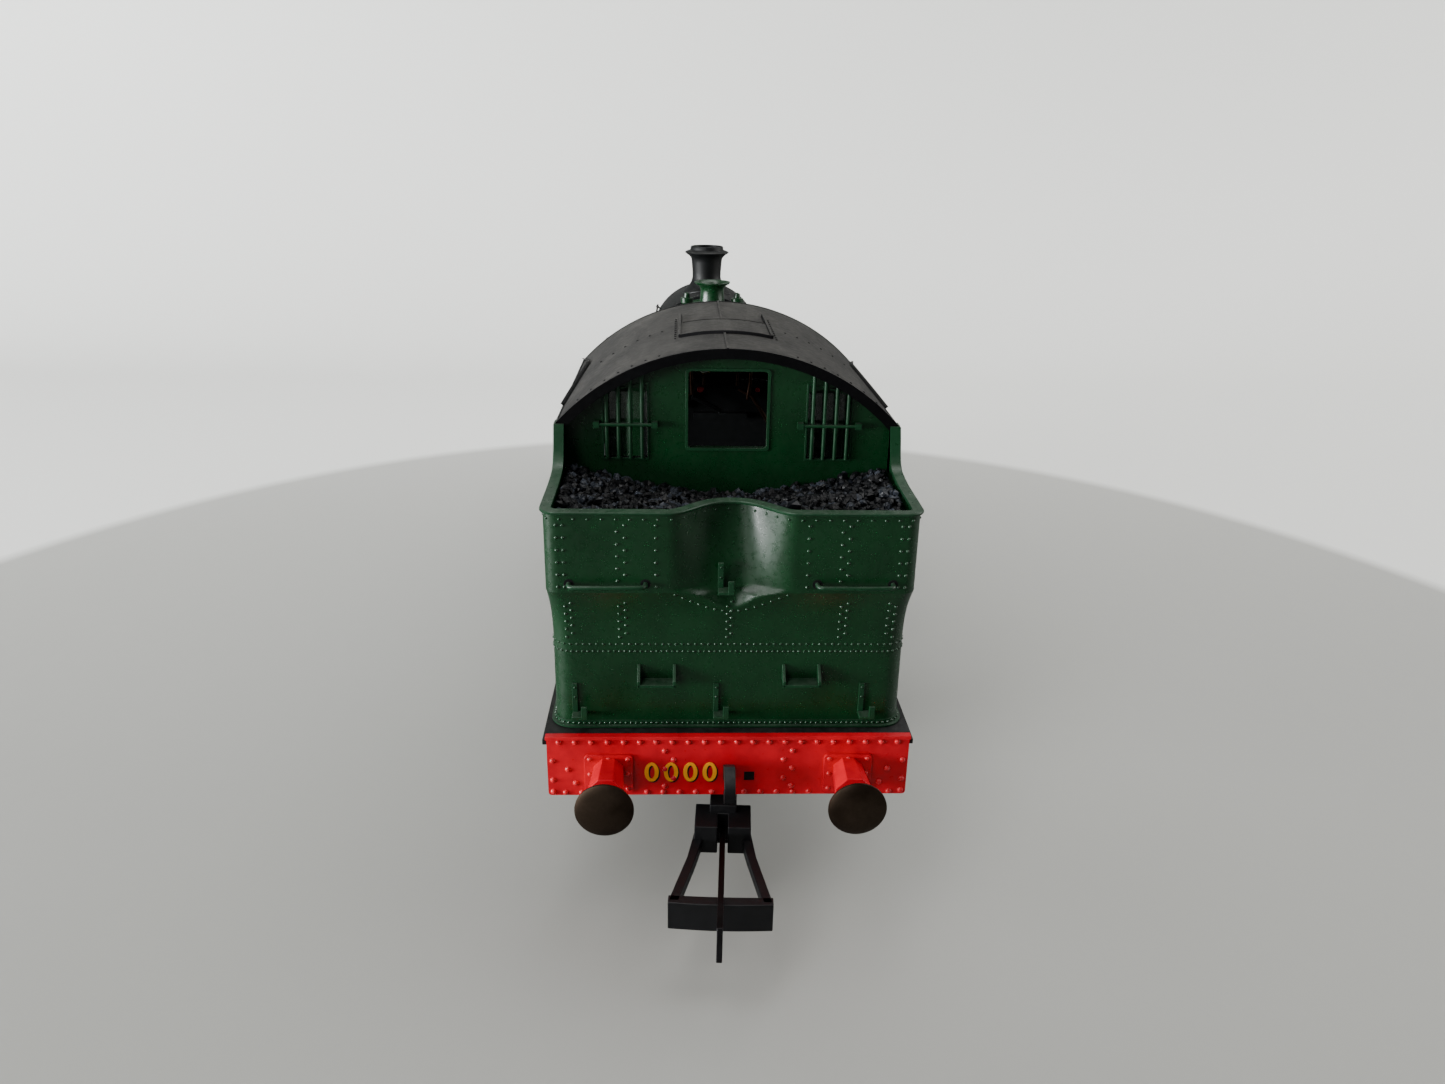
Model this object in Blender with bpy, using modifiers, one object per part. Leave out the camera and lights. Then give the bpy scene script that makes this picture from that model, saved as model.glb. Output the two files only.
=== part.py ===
"""Model steam locomotive: a 2-8-0 side tank engine at 4 mm to the foot, on 16.5 mm gauge wheels.

Sizes and positions below are millimetres, with heights above the top of the rail. The shape
helpers turn them into metres. +X is forward, +Y is the engine's left side and +Z is up.
Every object is a child of one empty that stands a flange's depth above the origin, so that the
wheel flanges touch Z = 0.
"""

import math
import random

import bmesh
import bpy
from mathutils import Matrix, Vector

MM = 0.001
FOOT = 4.0  # the scale: 4 mm to the foot
GAP = 0.06  # between pieces that rest on each other

# Lengthways
BEAM_TO_BEAM = 37.25 * FOOT
REAR = -BEAM_TO_BEAM / 2
FRONT = BEAM_TO_BEAM / 2
PONY_X = FRONT - 3.25 * FOOT
AXLE_X = [PONY_X - feet * FOOT for feet in (8.75, 14.1667, 19.5833, 25.5833)]
CYLINDER_X = FRONT - 7.0 * FOOT
CHIMNEY_X = CYLINDER_X
SAFETY_VALVE_X = REAR + 80.0
SMOKEBOX_X = (REAR + 111.0, REAR + 131.0)
FIREBOX_X = (REAR + 41.0, REAR + 67.0)
CAB_X = (REAR + 17.0, REAR + 46.5)
ROOF_X = (REAR + 15.6, REAR + 48.4)
TANK_X = (CAB_X[1] + GAP, REAR + 107.0)
BUNKER_LOWER_X = REAR + 3.0
BUNKER_UPPER_X = REAR + 1.7

# Heights and widths
FLANGE = 0.9
LOW_PLATE_Z = 16.7
HIGH_PLATE_Z = 20.7
PLATE_THICKNESS = 0.55
PLATE_WIDTH = 35.4
BEAM_Z = (10.9, LOW_PLATE_Z - PLATE_THICKNESS - GAP)
BEAM_WIDTH = 34.5
BEAM_THICKNESS = 1.2
BODY_WIDTH = 34.1
WALL = 0.8
RIM_Z = 39.0
EAVE_Z = 43.4
ROOF_TOP_Z = 51.1
ROOF_WIDTH = 34.5
ROOF_THICKNESS = 0.55
BOILER_Z = 32.8
SMOKEBOX_RADIUS = 10.6

# Running gear
AXLE_Z = 9.25
WHEEL_RADIUS = 9.25
PONY_RADIUS = 6.35
BACK_TO_BACK = 14.5
WHEEL_WIDTH = 2.8
AXLE_RADIUS = 1.5
CRANK = 1.25 * FOOT
CRANK_ANGLE = {1: -135.0, -1: 135.0}  # degrees from +X towards +Z; the sides are quartered
ROD_LENGTH = 10.7083 * FOOT
CYLINDER_Z = 10.0
CYLINDER_Y = 13.75
PIN_RADIUS = 0.75
COUPLING_ROD_Y = (10.4, 11.2)
CONNECTING_ROD_Y = (11.5, 12.15)
CROSSHEAD_Y = (12.65, 14.85)
COVER = 0.9  # how far the cylinder covers stand out
SPOKES = 16
PONY_PIVOT_X = REAR + 109.0

# Gear train
GEAR_MODULE = 0.4
GEAR_TEETH = 30
WORM_RADIUS = 2.0
WORM_Z = AXLE_Z + GEAR_MODULE * GEAR_TEETH / 2 + WORM_RADIUS

# Buffers
BUFFER_Y = 5.7083 * FOOT / 2
BUFFER_Z = 13.75
BUFFER_REACH = 7.1
BUFFER_HEAD_RADIUS = 2.67
HOUSING_LENGTH = 4.5

# Couplings, measured from the face of the beam or from the coupling's own pivot
COUPLING_PIVOT = 8.0  # from the beam's face, inwards
COUPLING_FACE = 12.0  # from the beam's face, outwards
COUPLING_SWING = {1: 0.0, -1: -3.0}  # degrees that each coupling stands off centre at rest
LOOP_Z = (4.9, 7.6)
HOOK_X = COUPLING_PIVOT + 1.9  # the hook's hinge pin, from the coupling's pivot
HOOK_Z = 6.95

GREEN = ("green_paint", (0.012, 0.055, 0.022), 0.0, 0.38)
WHEEL_GREEN = ("wheel_paint", (0.012, 0.055, 0.022), 0.3, 0.38)
BLACK = ("black_paint", (0.012, 0.012, 0.014), 0.0, 0.45)
ROOF_BLACK = ("roof_paint", (0.035, 0.034, 0.033), 0.0, 0.65)
RED = ("red_paint", (0.60, 0.012, 0.012), 0.0, 0.35)
COAL = ("coal", (0.010, 0.010, 0.012), 0.0, 0.40)
STEEL = ("steel", (0.42, 0.42, 0.43), 1.0, 0.30)
DARK_STEEL = ("blackened_steel", (0.05, 0.045, 0.04), 0.9, 0.45)
BRASS = ("brass", (0.62, 0.42, 0.14), 1.0, 0.30)
CAST = ("cast_metal", (0.13, 0.13, 0.14), 0.9, 0.50)
PLASTIC = ("black_plastic", (0.010, 0.010, 0.010), 0.0, 0.40)
BOARD = ("circuit_board", (0.02, 0.16, 0.06), 0.0, 0.45)


def clear_scene():
    for obj in list(bpy.data.objects):
        bpy.data.objects.remove(obj)


def collection(name):
    made = bpy.data.collections.new(name)
    bpy.context.scene.collection.children.link(made)
    return made


clear_scene()
PARTS = collection("model_locomotive")
CUTTERS = collection("cutters")
FRAME = bpy.data.objects.new("rail_level", None)
FRAME.location.z = FLANGE * MM
PARTS.objects.link(FRAME)


# ---------------------------------------------------------------- helpers


def material(finish):
    name, colour, metallic, roughness = finish
    found = bpy.data.materials.get(name)
    if found:
        return found
    made = bpy.data.materials.new(name)
    made.use_nodes = True
    shader = made.node_tree.nodes["Principled BSDF"]
    shader.inputs["Base Color"].default_value = (*colour, 1.0)
    shader.inputs["Metallic"].default_value = metallic
    shader.inputs["Roughness"].default_value = roughness
    return made


def mesh_object(name, mesh, at=(0, 0, 0)):
    """A loose object holding a mesh that is already in metres, standing at a point in mm."""
    obj = bpy.data.objects.new(name, mesh)
    obj.location = Vector(at) * MM
    obj.parent = FRAME
    CUTTERS.objects.link(obj)
    obj.hide_render = True
    obj.display_type = "WIRE"
    return obj


def finish(obj, paint):
    """Makes a loose object a shown part with a material, shaded smooth but for its sharp edges."""
    obj.data.materials.clear()
    obj.data.materials.append(material(paint))
    obj.data.shade_smooth()
    obj.data.set_sharp_from_angle(angle=math.radians(35))
    CUTTERS.objects.unlink(obj)
    PARTS.objects.link(obj)
    obj.hide_render = False
    obj.display_type = "TEXTURED"
    return obj


def from_bmesh(name, bm, at=(0, 0, 0)):
    bmesh.ops.recalc_face_normals(bm, faces=bm.faces)
    mesh = bpy.data.meshes.new(name)
    bm.to_mesh(mesh)
    bm.free()
    return mesh_object(name, mesh, at)


def box(name, low, high, at=(0, 0, 0)):
    bm = bmesh.new()
    bmesh.ops.create_cube(bm, size=1.0)
    low, high = Vector(low), Vector(high)
    for vert in bm.verts:
        vert.co = Vector(
            (low[i] + (vert.co[i] + 0.5) * (high[i] - low[i])) * MM for i in range(3)
        )
    return from_bmesh(name, bm, at)


def turn_to(direction):
    return Vector(direction).to_track_quat("Z", "Y").to_matrix().to_4x4()


def cone(name, start, end, radii, segments=16, at=(0, 0, 0)):
    """A cone or cylinder from one point to another."""
    start, end = Vector(start), Vector(end)
    bm = bmesh.new()
    place = Matrix.Translation((start + end) / 2 * MM) @ turn_to(end - start)
    bmesh.ops.create_cone(
        bm,
        cap_ends=True,
        segments=segments,
        radius1=radii[0] * MM,
        radius2=radii[1] * MM,
        depth=(end - start).length * MM,
        matrix=place,
    )
    return from_bmesh(name, bm, at)


def rod(name, start, end, radius, segments=16, at=(0, 0, 0)):
    return cone(name, start, end, (radius, radius), segments, at)


def turned(name, profile, direction, at, steps=24):
    """A closed profile of (radius, height) turned about an axis through a point."""
    bm = bmesh.new()
    verts = [bm.verts.new((radius * MM, 0, height * MM)) for radius, height in profile]
    for a, b in zip(verts, verts[1:] + verts[:1]):
        if a.co.x > 0 or b.co.x > 0:
            bm.edges.new((a, b))
    mesh = bpy.data.meshes.new(name)
    bm.to_mesh(mesh)
    bm.free()
    obj = mesh_object(name, mesh)
    screw = obj.modifiers.new("turn", "SCREW")
    screw.steps = screw.render_steps = steps
    screw.use_merge_vertices = True
    screw.merge_threshold = 0.00001
    graph = bpy.context.evaluated_depsgraph_get()
    solid = bpy.data.meshes.new_from_object(obj.evaluated_get(graph))
    bpy.data.objects.remove(obj)
    bm = bmesh.new()
    bm.from_mesh(solid)
    bmesh.ops.remove_doubles(bm, verts=bm.verts, dist=0.000005)
    bmesh.ops.transform(bm, matrix=turn_to(direction), verts=bm.verts)
    return from_bmesh(name, bm, at)


ACROSS = {
    "X": Matrix(((0, 0, 1), (1, 0, 0), (0, 1, 0))),
    "Y": Matrix(((1, 0, 0), (0, 0, -1), (0, 1, 0))),
    "Z": Matrix.Identity(3),
}


def plate(name, outlines, across, low, high, at=(0, 0, 0)):
    """A flat outline, with any holes after it, given thickness along one axis.

    Points are (Y, Z) across X, (X, Z) across Y and (X, Y) across Z.
    """
    curve = bpy.data.curves.new(name, "CURVE")
    curve.dimensions = "2D"
    curve.fill_mode = "BOTH"
    curve.extrude = (high - low) / 2 * MM
    for outline in outlines:
        spline = curve.splines.new("POLY")
        spline.points.add(len(outline) - 1)
        for point, (u, v) in zip(spline.points, outline):
            point.co = (u * MM, v * MM, 0, 1)
        spline.use_cyclic_u = True
    flat = bpy.data.objects.new(name, curve)
    bpy.context.scene.collection.objects.link(flat)
    graph = bpy.context.evaluated_depsgraph_get()
    solid = bpy.data.meshes.new_from_object(flat.evaluated_get(graph))
    bpy.data.objects.remove(flat)
    bm = bmesh.new()
    bm.from_mesh(solid)
    bmesh.ops.remove_doubles(bm, verts=bm.verts, dist=0.0000005)
    middle = (low + high) / 2 * MM
    shift = {"X": (middle, 0, 0), "Y": (0, middle, 0), "Z": (0, 0, middle)}[across]
    place = Matrix.Translation(shift) @ ACROSS[across].to_4x4()
    bmesh.ops.transform(bm, matrix=place, verts=bm.verts)
    return from_bmesh(name, bm, at)


def arc(u, v, radius, start, end, steps):
    """Points of an arc in degrees, both ends included."""
    points = []
    for i in range(steps + 1):
        angle = math.radians(start + (end - start) * i / steps)
        points.append((u + radius * math.cos(angle), v + radius * math.sin(angle)))
    return points


def rectangle(u0, v0, u1, v1):
    return [(u0, v0), (u1, v0), (u1, v1), (u0, v1)]


def rounded(u0, v0, u1, v1, radius, steps=3):
    return (
        arc(u1 - radius, v0 + radius, radius, -90, 0, steps)
        + arc(u1 - radius, v1 - radius, radius, 0, 90, steps)
        + arc(u0 + radius, v1 - radius, radius, 90, 180, steps)
        + arc(u0 + radius, v0 + radius, radius, 180, 270, steps)
    )


def combine(obj, other, operation):
    modifier = obj.modifiers.new(other.name, "BOOLEAN")
    modifier.operation = operation
    modifier.solver = "EXACT"
    modifier.object = other


def cut(obj, *others):
    for other in others:
        combine(obj, other, "DIFFERENCE")
    return obj


def join(obj, *others):
    for other in others:
        combine(obj, other, "UNION")
    return obj


def side_name(side):
    return "left" if side > 0 else "right"


def end_name(end):
    return "front" if end > 0 else "rear"


def band(side, span):
    """The low and high Y of a (near, far) span on one side of the engine."""
    return (span[0], span[1]) if side > 0 else (-span[1], -span[0])


# ---------------------------------------------------------------- chassis


CHASSIS_HALF_WIDTH = 4.6
CHASSIS_BOTTOM_Z = 5.6
CHASSIS_TOP_Z = 16.0
MOTOR_X = (REAR + 28.0, REAR + 52.0)
MOTOR_RADIUS = 5.5
WORM_X = (AXLE_X[2] - 3.9, AXLE_X[2] + 3.9)
KEEPER_Z = (4.5, CHASSIS_BOTTOM_Z - GAP)
GEAR_SLOT = 6.9


def chassis_block():
    tail_x, nose_x = REAR + 5.0, FRONT - 3.0
    main_x = (REAR + 24.5, PONY_PIVOT_X - 1.5)
    recess_x = (MOTOR_X[0] - 0.7, MOTOR_X[1] + 0.2)
    worm_end = WORM_X[1] + 1.3
    outline = [
        (tail_x, 12.6),
        (tail_x, CHASSIS_TOP_Z),
        (recess_x[0], CHASSIS_TOP_Z),
        (recess_x[0], 11.5),
        (recess_x[1], 11.5),
        (recess_x[1], 14.4),
        (worm_end, 14.4),
        (worm_end, CHASSIS_TOP_Z),
        (nose_x, CHASSIS_TOP_Z),
        (nose_x, 13.3),
        (main_x[1], 13.3),
        (main_x[1], CHASSIS_BOTTOM_Z),
    ]
    outline += [(main_x[0], CHASSIS_BOTTOM_Z), (main_x[0], 12.6)]
    block = plate("chassis_block", [outline], "Y", -CHASSIS_HALF_WIDTH, CHASSIS_HALF_WIDTH)
    slot = AXLE_RADIUS + 0.06
    for number, x in enumerate(AXLE_X, 1):
        notch = [(x + slot, 3.0)] + arc(x, AXLE_Z, slot, 0, 180, 8) + [(x - slot, 3.0)]
        cut(block, plate(f"axle_notch_{number}", [notch], "Y", -9.0, 9.0))
    gear_x = AXLE_X[2]
    for end in (1, -1):
        x = (FRONT if end > 0 else REAR) - end * COUPLING_PIVOT
        socket = rod(f"coupling_socket_{end_name(end)}", (x, 0, 12), (x, 0, 14.9), 0.86, 12)
        cut(block, socket)
    cut(
        block,
        rod("pony_socket", (PONY_PIVOT_X, 0, 13), (PONY_PIVOT_X, 0, 15), 1.08, 12),
        box("gear_slot", (gear_x - GEAR_SLOT, -1.6, 0), (gear_x + GEAR_SLOT, 1.6, 30)),
        box("motor_clearance", (MOTOR_X[0] - 2.6, -2.0, 14.0), (MOTOR_X[0], 2.0, 30)),
    )
    return finish(block, CAST)


def keeper_plate():
    low_x, high_x = AXLE_X[3] - 5.0, PONY_PIVOT_X - 5.0
    half = CHASSIS_HALF_WIDTH
    keeper = box("keeper_plate", (low_x, -half, KEEPER_Z[0]), (high_x, half, KEEPER_Z[1]))
    gear_x = AXLE_X[2]
    cut(keeper, box("gear_window", (gear_x - 5.6, -1.6, 0), (gear_x + 5.6, 1.6, 9)))
    for index, x in enumerate(AXLE_X[:3]):
        hanger_x = x - 10.9
        bar = box(
            f"brake_beam_{index}",
            (hanger_x - 0.5, -9.3, KEEPER_Z[0]),
            (hanger_x + 0.5, 9.3, KEEPER_Z[1] - 0.2),
        )
        join(keeper, bar)
    return finish(keeper, PLASTIC)


def running_plate():
    """The footplate: high beside the wheels, dropping by a curve to both buffer beams."""
    drop_rear, drop_front = REAR + 18.5, FRONT - 19.0

    def line(offset):
        """The plate's side view at a depth below its top surface."""
        low, high = LOW_PLATE_Z - offset, HIGH_PLATE_Z - offset
        radius = (high - low) / 2
        inner, outer = radius + offset, radius - offset
        centre = drop_rear
        rear = arc(centre, low + inner, inner, -90, 0, 3)
        rear += arc(centre + 2 * radius, high - outer, outer, 180, 90, 3)
        centre = drop_front + 2 * radius
        front = arc(centre - 2 * radius, high - outer, outer, 90, 0, 3)
        front += arc(centre, low + inner, inner, 180, 270, 3)
        return [(REAR - 0.2, low)] + rear + front + [(FRONT + 0.2, low)]

    half = PLATE_WIDTH / 2
    thick = PLATE_THICKNESS
    deck = plate("running_plate", [line(0.0) + line(thick)[::-1]], "Y", -half, half)
    edge = line(0.02)[1:-1]
    skirt_rear, skirt_front = REAR + BEAM_THICKNESS + 0.2, FRONT - BEAM_THICKNESS - 0.2
    low_edge = [(skirt_rear, edge[0][1])] + edge + [(skirt_front, edge[-1][1])]
    below = [(x, z - 1.35) for x, z in low_edge]
    for side in (1, -1):
        y0, y1 = band(side, (half - 0.75, half - 0.15))
        valance = plate(f"valance_{side_name(side)}", [low_edge + below[::-1]], "Y", y0, y1)
        steps = [valance]
        for name, x, depth in (("cab", REAR + 30.0, 12.5), ("front", FRONT - 13.0, 8.5)):
            top = HIGH_PLATE_Z - 0.3 if name == "cab" else LOW_PLATE_Z - 0.3
            hanger = rectangle(x - 1.9, top - depth, x + 1.9, top)
            label = f"{name}_step_{side_name(side)}"
            steps.append(plate(label, [hanger], "Y", *band(side, (half - 2.6, half - 2.1))))
            for count, fall in enumerate((depth - 0.25, depth / 2)):
                y0, y1 = band(side, (half - 2.3, half - 0.3))
                low = (x - 1.9, y0, top - fall - 0.25)
                high = (x + 1.9, y1, top - fall + 0.25)
                steps.append(box(f"{label}_{count}", low, high))
        join(deck, *steps)
    slot_x = (REAR + 26.0, FRONT - 26.0)
    cut(
        deck,
        box("body_slot", (slot_x[0], -6.2, 18), (slot_x[1], 6.2, 24)),
    )
    return finish(deck, BLACK)


def cylinder_block():
    """Both cylinders with their steam chests, on one cross member over the chassis."""
    x0, x1 = CYLINDER_X - 6.5, CYLINDER_X + 6.0
    low, high = CHASSIS_TOP_Z + GAP, HIGH_PLATE_Z - PLATE_THICKNESS - GAP
    saddle = box("cylinder_block", (x0 + 2.5, -12.5, low), (x1 - 2.5, 12.5, high))
    for side in (1, -1):
        y = CYLINDER_Y * side
        barrel = rod(f"cylinder_{side_name(side)}", (x0, y, CYLINDER_Z), (x1, y, CYLINDER_Z), 3.95, 20)
        cover = rod(
            f"cover_{side_name(side)}",
            (x0 + 0.2, y, CYLINDER_Z),
            (x0 - COVER, y, CYLINDER_Z),
            2.0,
            16,
        )
        y0, y1 = band(side, (CYLINDER_Y - 3.1, CYLINDER_Y + 3.1))
        chest = box(f"chest_{side_name(side)}", (x0, y0, CYLINDER_Z), (x1, y1, high - 0.02))
        gland = rod(
            f"gland_{side_name(side)}",
            (x0 - 2.0, y, CYLINDER_Z),
            (x1 - 0.6, y, CYLINDER_Z),
            0.75,
            12,
        )
        join(saddle, barrel, chest, cover)
        cut(saddle, gland)
    return finish(saddle, GREEN)


def slide_bars(side):
    """Two bars from the cylinder's rear cover to the motion bracket hung under the plate."""
    label = side_name(side)
    x0, x1 = REAR + 91.5, CYLINDER_X - 6.5 - COVER - GAP
    y0, y1 = band(side, (CROSSHEAD_Y[0] + 0.3, CROSSHEAD_Y[1] - 0.3))
    top = HIGH_PLATE_Z - PLATE_THICKNESS - GAP
    bracket = plate(
        f"slide_bars_{label}",
        [[(y0, 7.2), (y1, 7.2), (y1, top), (y0, top)]],
        "X",
        x0 - 1.0,
        x0 + 0.1,
    )
    for name, z in (("upper", CYLINDER_Z + 1.55), ("lower", CYLINDER_Z - 2.15)):
        join(bracket, box(f"{name}_bar_{label}", (x0 - 0.2, y0, z), (x1, y1, z + 0.6)))
    return finish(bracket, STEEL)


# ---------------------------------------------------------------- wheels and motion


def ring(name, profile, side, at, steps):
    """A turned ring about the Y axis; heights in the profile run outwards."""
    return turned(name, profile, (0, side, 0), at, steps)


def driving_wheel(number, side):
    """A flanged tyre round a spoked centre, with a hub, a crank boss and the crank pin."""
    name = f"wheel_{number}_{side_name(side)}"
    at = (AXLE_X[number - 1], 0, AXLE_Z)
    inner, outer = BACK_TO_BACK / 2, BACK_TO_BACK / 2 + WHEEL_WIDTH
    crank = math.radians(CRANK_ANGLE[side])
    pin = (CRANK * math.cos(crank), CRANK * math.sin(crank))
    tyre_inside = WHEEL_RADIUS - 1.35
    web = outer - 0.8
    profile = [
        (AXLE_RADIUS + 0.04, inner),
        (WHEEL_RADIUS + FLANGE, inner),
        (WHEEL_RADIUS + FLANGE - 0.1, inner + 0.5),
        (WHEEL_RADIUS, inner + 0.8),
        (WHEEL_RADIUS, outer),
        (tyre_inside, outer),
        (tyre_inside, web),
        (AXLE_RADIUS + 0.04, web),
    ]
    wheel = turned(name, profile, (0, side, 0), at, 24)
    for i in range(SPOKES):
        centre = crank + 2 * math.pi * (i + 0.5) / SPOKES
        gap = [(2.9 * math.cos(centre), 2.9 * math.sin(centre))]
        for sign in (1, -1):
            angle = centre + sign * 0.13
            far = tyre_inside - 0.25
            gap.append((far * math.cos(angle), far * math.sin(angle)))
        cut(wheel, plate(f"{name}_gap_{i}", [gap], "Y", *band(side, (0, 20)), at))
    boss = arc(pin[0], pin[1], 1.6, math.degrees(crank) - 75, math.degrees(crank) + 75, 4)
    boss += arc(0, 0, 2.4, math.degrees(crank) + 75, math.degrees(crank) + 285, 6)
    bore = arc(0, 0, AXLE_RADIUS + 0.04, 0, 345, 23)
    reach = COUPLING_ROD_Y[1] + 0.2 if number != 3 else CONNECTING_ROD_Y[1] + 0.2
    join(
        wheel,
        plate(f"{name}_boss", [boss, bore], "Y", *band(side, (web - 0.4, outer - 0.2)), at),
        rod(
            f"{name}_pin",
            (pin[0], side * (outer - 0.5), pin[1]),
            (pin[0], side * reach, pin[1]),
            PIN_RADIUS,
            12,
            at,
        ),
    )
    return finish(wheel, WHEEL_GREEN)


def axle(name, x, z, radius=AXLE_RADIUS):
    reach = BACK_TO_BACK / 2 + WHEEL_WIDTH - 0.3
    return finish(rod(name, (0, -reach, 0), (0, reach, 0), radius, 16, (x, 0, z)), STEEL)


def pony_wheelset():
    """Two disc wheels and their axle, pressed up as one unit."""
    inner, outer = BACK_TO_BACK / 2, BACK_TO_BACK / 2 + WHEEL_WIDTH
    half = [
        (0.0, outer),
        (1.0, outer),
        (1.0, outer - 1.0),
        (PONY_RADIUS - 1.0, outer - 1.0),
        (PONY_RADIUS - 1.0, outer),
        (PONY_RADIUS, outer),
        (PONY_RADIUS, inner + 0.7),
        (PONY_RADIUS + FLANGE, inner + 0.45),
        (PONY_RADIUS + FLANGE, inner),
        (1.0, inner),
    ]
    profile = half + [(radius, -y) for radius, y in half[::-1]]
    unit = turned("pony_wheelset", profile, (0, 1, 0), (PONY_X, 0, PONY_RADIUS), 20)
    return finish(unit, WHEEL_GREEN)


def axle_gear():
    """A spur gear on the driven axle; one tooth space points up to the worm."""
    at = (AXLE_X[2], 0, AXLE_Z)
    pitch = GEAR_MODULE * GEAR_TEETH / 2
    root, tip = pitch - 1.2 * GEAR_MODULE, pitch + GEAR_MODULE
    step = 360 / GEAR_TEETH
    outline = []
    for i in range(GEAR_TEETH):
        centre = 90 + step * (i + 0.5)
        for radius, half in ((root, 0.30), (tip, 0.11), (tip, -0.11), (root, -0.30)):
            angle = math.radians(centre - step * half)
            outline.append((radius * math.cos(angle), radius * math.sin(angle)))
    bore = arc(0, 0, AXLE_RADIUS + 0.04, 0, 337.5, 15)
    return finish(plate("axle_gear", [outline, bore], "Y", -1.0, 1.0, at), BRASS)


def worm_shaft():
    """The motor's output shaft with a single start worm over the gear."""
    at = (AXLE_X[2], 0, WORM_Z)
    pitch = math.pi * GEAR_MODULE
    turns, steps = 4, 10
    root, tip = WORM_RADIUS - 1.2 * GEAR_MODULE, WORM_RADIUS + GEAR_MODULE
    bm = bmesh.new()
    sections = []
    for i in range(turns * steps + 1):
        turn = i / steps
        angle = 2 * math.pi * turn
        along = (turn - turns / 2) * pitch
        section = []
        for radius, half in ((root - 0.3, 0.2), (tip, 0.09), (tip, -0.09), (root - 0.3, -0.2)):
            y, z = -radius * math.sin(angle), -radius * math.cos(angle)
            co = Vector((along + half * pitch, y, z)) * MM
            section.append(bm.verts.new(co))
        sections.append(section)
    for a, b in zip(sections, sections[1:]):
        for i in range(4):
            j = (i + 1) % 4
            bm.faces.new((a[i], a[j], b[j], b[i]))
    bm.faces.new(sections[0])
    bm.faces.new(sections[-1][::-1])
    thread = from_bmesh("worm_thread", bm, at)
    rear = MOTOR_X[1] - 1.0 - AXLE_X[2]
    shaft = rod("worm_shaft", (rear, 0, 0), (WORM_X[1] - AXLE_X[2], 0, 0), 0.75, 12, at)
    core = rod("worm_core", (-3.4, 0, 0), (3.4, 0, 0), root, 12, at)
    join(shaft, core, thread)
    return finish(shaft, BRASS)


def beaded_bar(pins, half, boss_radius):
    """The outline of a bar with a round boss at each pin, in order from the lowest X."""
    turn = math.degrees(math.asin(half / boss_radius))
    lower, upper = [], []
    for i, x in enumerate(pins):
        first = 180 if i == 0 else 180 + turn
        last = 360 if i == len(pins) - 1 else 360 - turn
        lower += arc(x, 0, boss_radius, first, last, 5)
        upper += arc(x, 0, boss_radius, 360 - first, 360 - last, 5)
    return lower + upper[::-1][1:-1]


def coupling_rod(side):
    """One rod over four crank pins, with a boss at each; it stands on the driven wheel's pin."""
    name = f"coupling_rod_{side_name(side)}"
    crank = math.radians(CRANK_ANGLE[side])
    at_x = AXLE_X[2] + CRANK * math.cos(crank)
    at = (at_x, 0, AXLE_Z + CRANK * math.sin(crank))
    pins = [x - AXLE_X[2] for x in AXLE_X[::-1]]
    holes = [arc(x, 0, PIN_RADIUS + 0.08, 0, 330, 11) for x in pins]
    outlines = [beaded_bar(pins, 0.65, 1.5)] + holes
    return finish(plate(name, outlines, "Y", *band(side, COUPLING_ROD_Y), at), STEEL)


def gudgeon_x(side):
    """Where the crosshead's pin stands for the crank's angle at rest."""
    crank = math.radians(CRANK_ANGLE[side])
    rise = CYLINDER_Z - (AXLE_Z + CRANK * math.sin(crank))
    along = math.sqrt(ROD_LENGTH**2 - rise**2)
    return AXLE_X[2] + CRANK * math.cos(crank) + along


def connecting_rod(side):
    """A fluted bar from the driven wheel's pin to the crosshead, whose end is left free."""
    name = f"connecting_rod_{side_name(side)}"
    crank = math.radians(CRANK_ANGLE[side])
    at = (AXLE_X[2] + CRANK * math.cos(crank), 0, AXLE_Z + CRANK * math.sin(crank))
    end = (gudgeon_x(side) - at[0], CYLINDER_Z - at[2])
    lean = math.atan2(end[1], end[0])
    across = Vector((-math.sin(lean), math.cos(lean)))
    y0, y1 = band(side, CONNECTING_ROD_Y)
    start, finish_at = Vector((0, 0)), Vector(end)
    bar_outline = [
        start - across * 0.75,
        finish_at - across * 0.5,
        finish_at + across * 0.5,
        start + across * 0.75,
    ]
    bar = plate(name, [[tuple(p) for p in bar_outline]], "Y", y0 + 0.05, y1 - 0.05, at)
    big = rod(f"{name}_big_end", (0, y0, 0), (0, y1, 0), 1.6, 16, at)
    small = rod(f"{name}_small_end", (end[0], y0, end[1]), (end[0], y1, end[1]), 1.15, 16, at)
    join(bar, big, small)
    cut(bar, rod(f"{name}_hole", (0, y0 - 1, 0), (0, y1 + 1, 0), PIN_RADIUS + 0.08, 12, at))
    return finish(bar, STEEL)


def crosshead(side):
    """The sliding block between the bars, with the piston rod that enters the cylinder."""
    name = f"crosshead_{side_name(side)}"
    at = (gudgeon_x(side), 0, CYLINDER_Z)
    y0, y1 = band(side, CROSSHEAD_Y)
    middle = (y0 + y1) / 2
    block = box(name, (-1.9, y0, -1.45), (1.9, y1, 1.45), at)
    rod_end = CYLINDER_X + 4.2 - AXLE_X[2] - ROD_LENGTH - CRANK
    piston = rod(f"{name}_piston_rod", (1.5, middle, 0), (rod_end, middle, 0), 0.6, 12, at)
    pin = rod(f"{name}_pin", (0, middle, 0), (0, side * 15.2, 0), 0.8, 12, at)
    join(block, piston, pin)
    return finish(block, STEEL)


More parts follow.
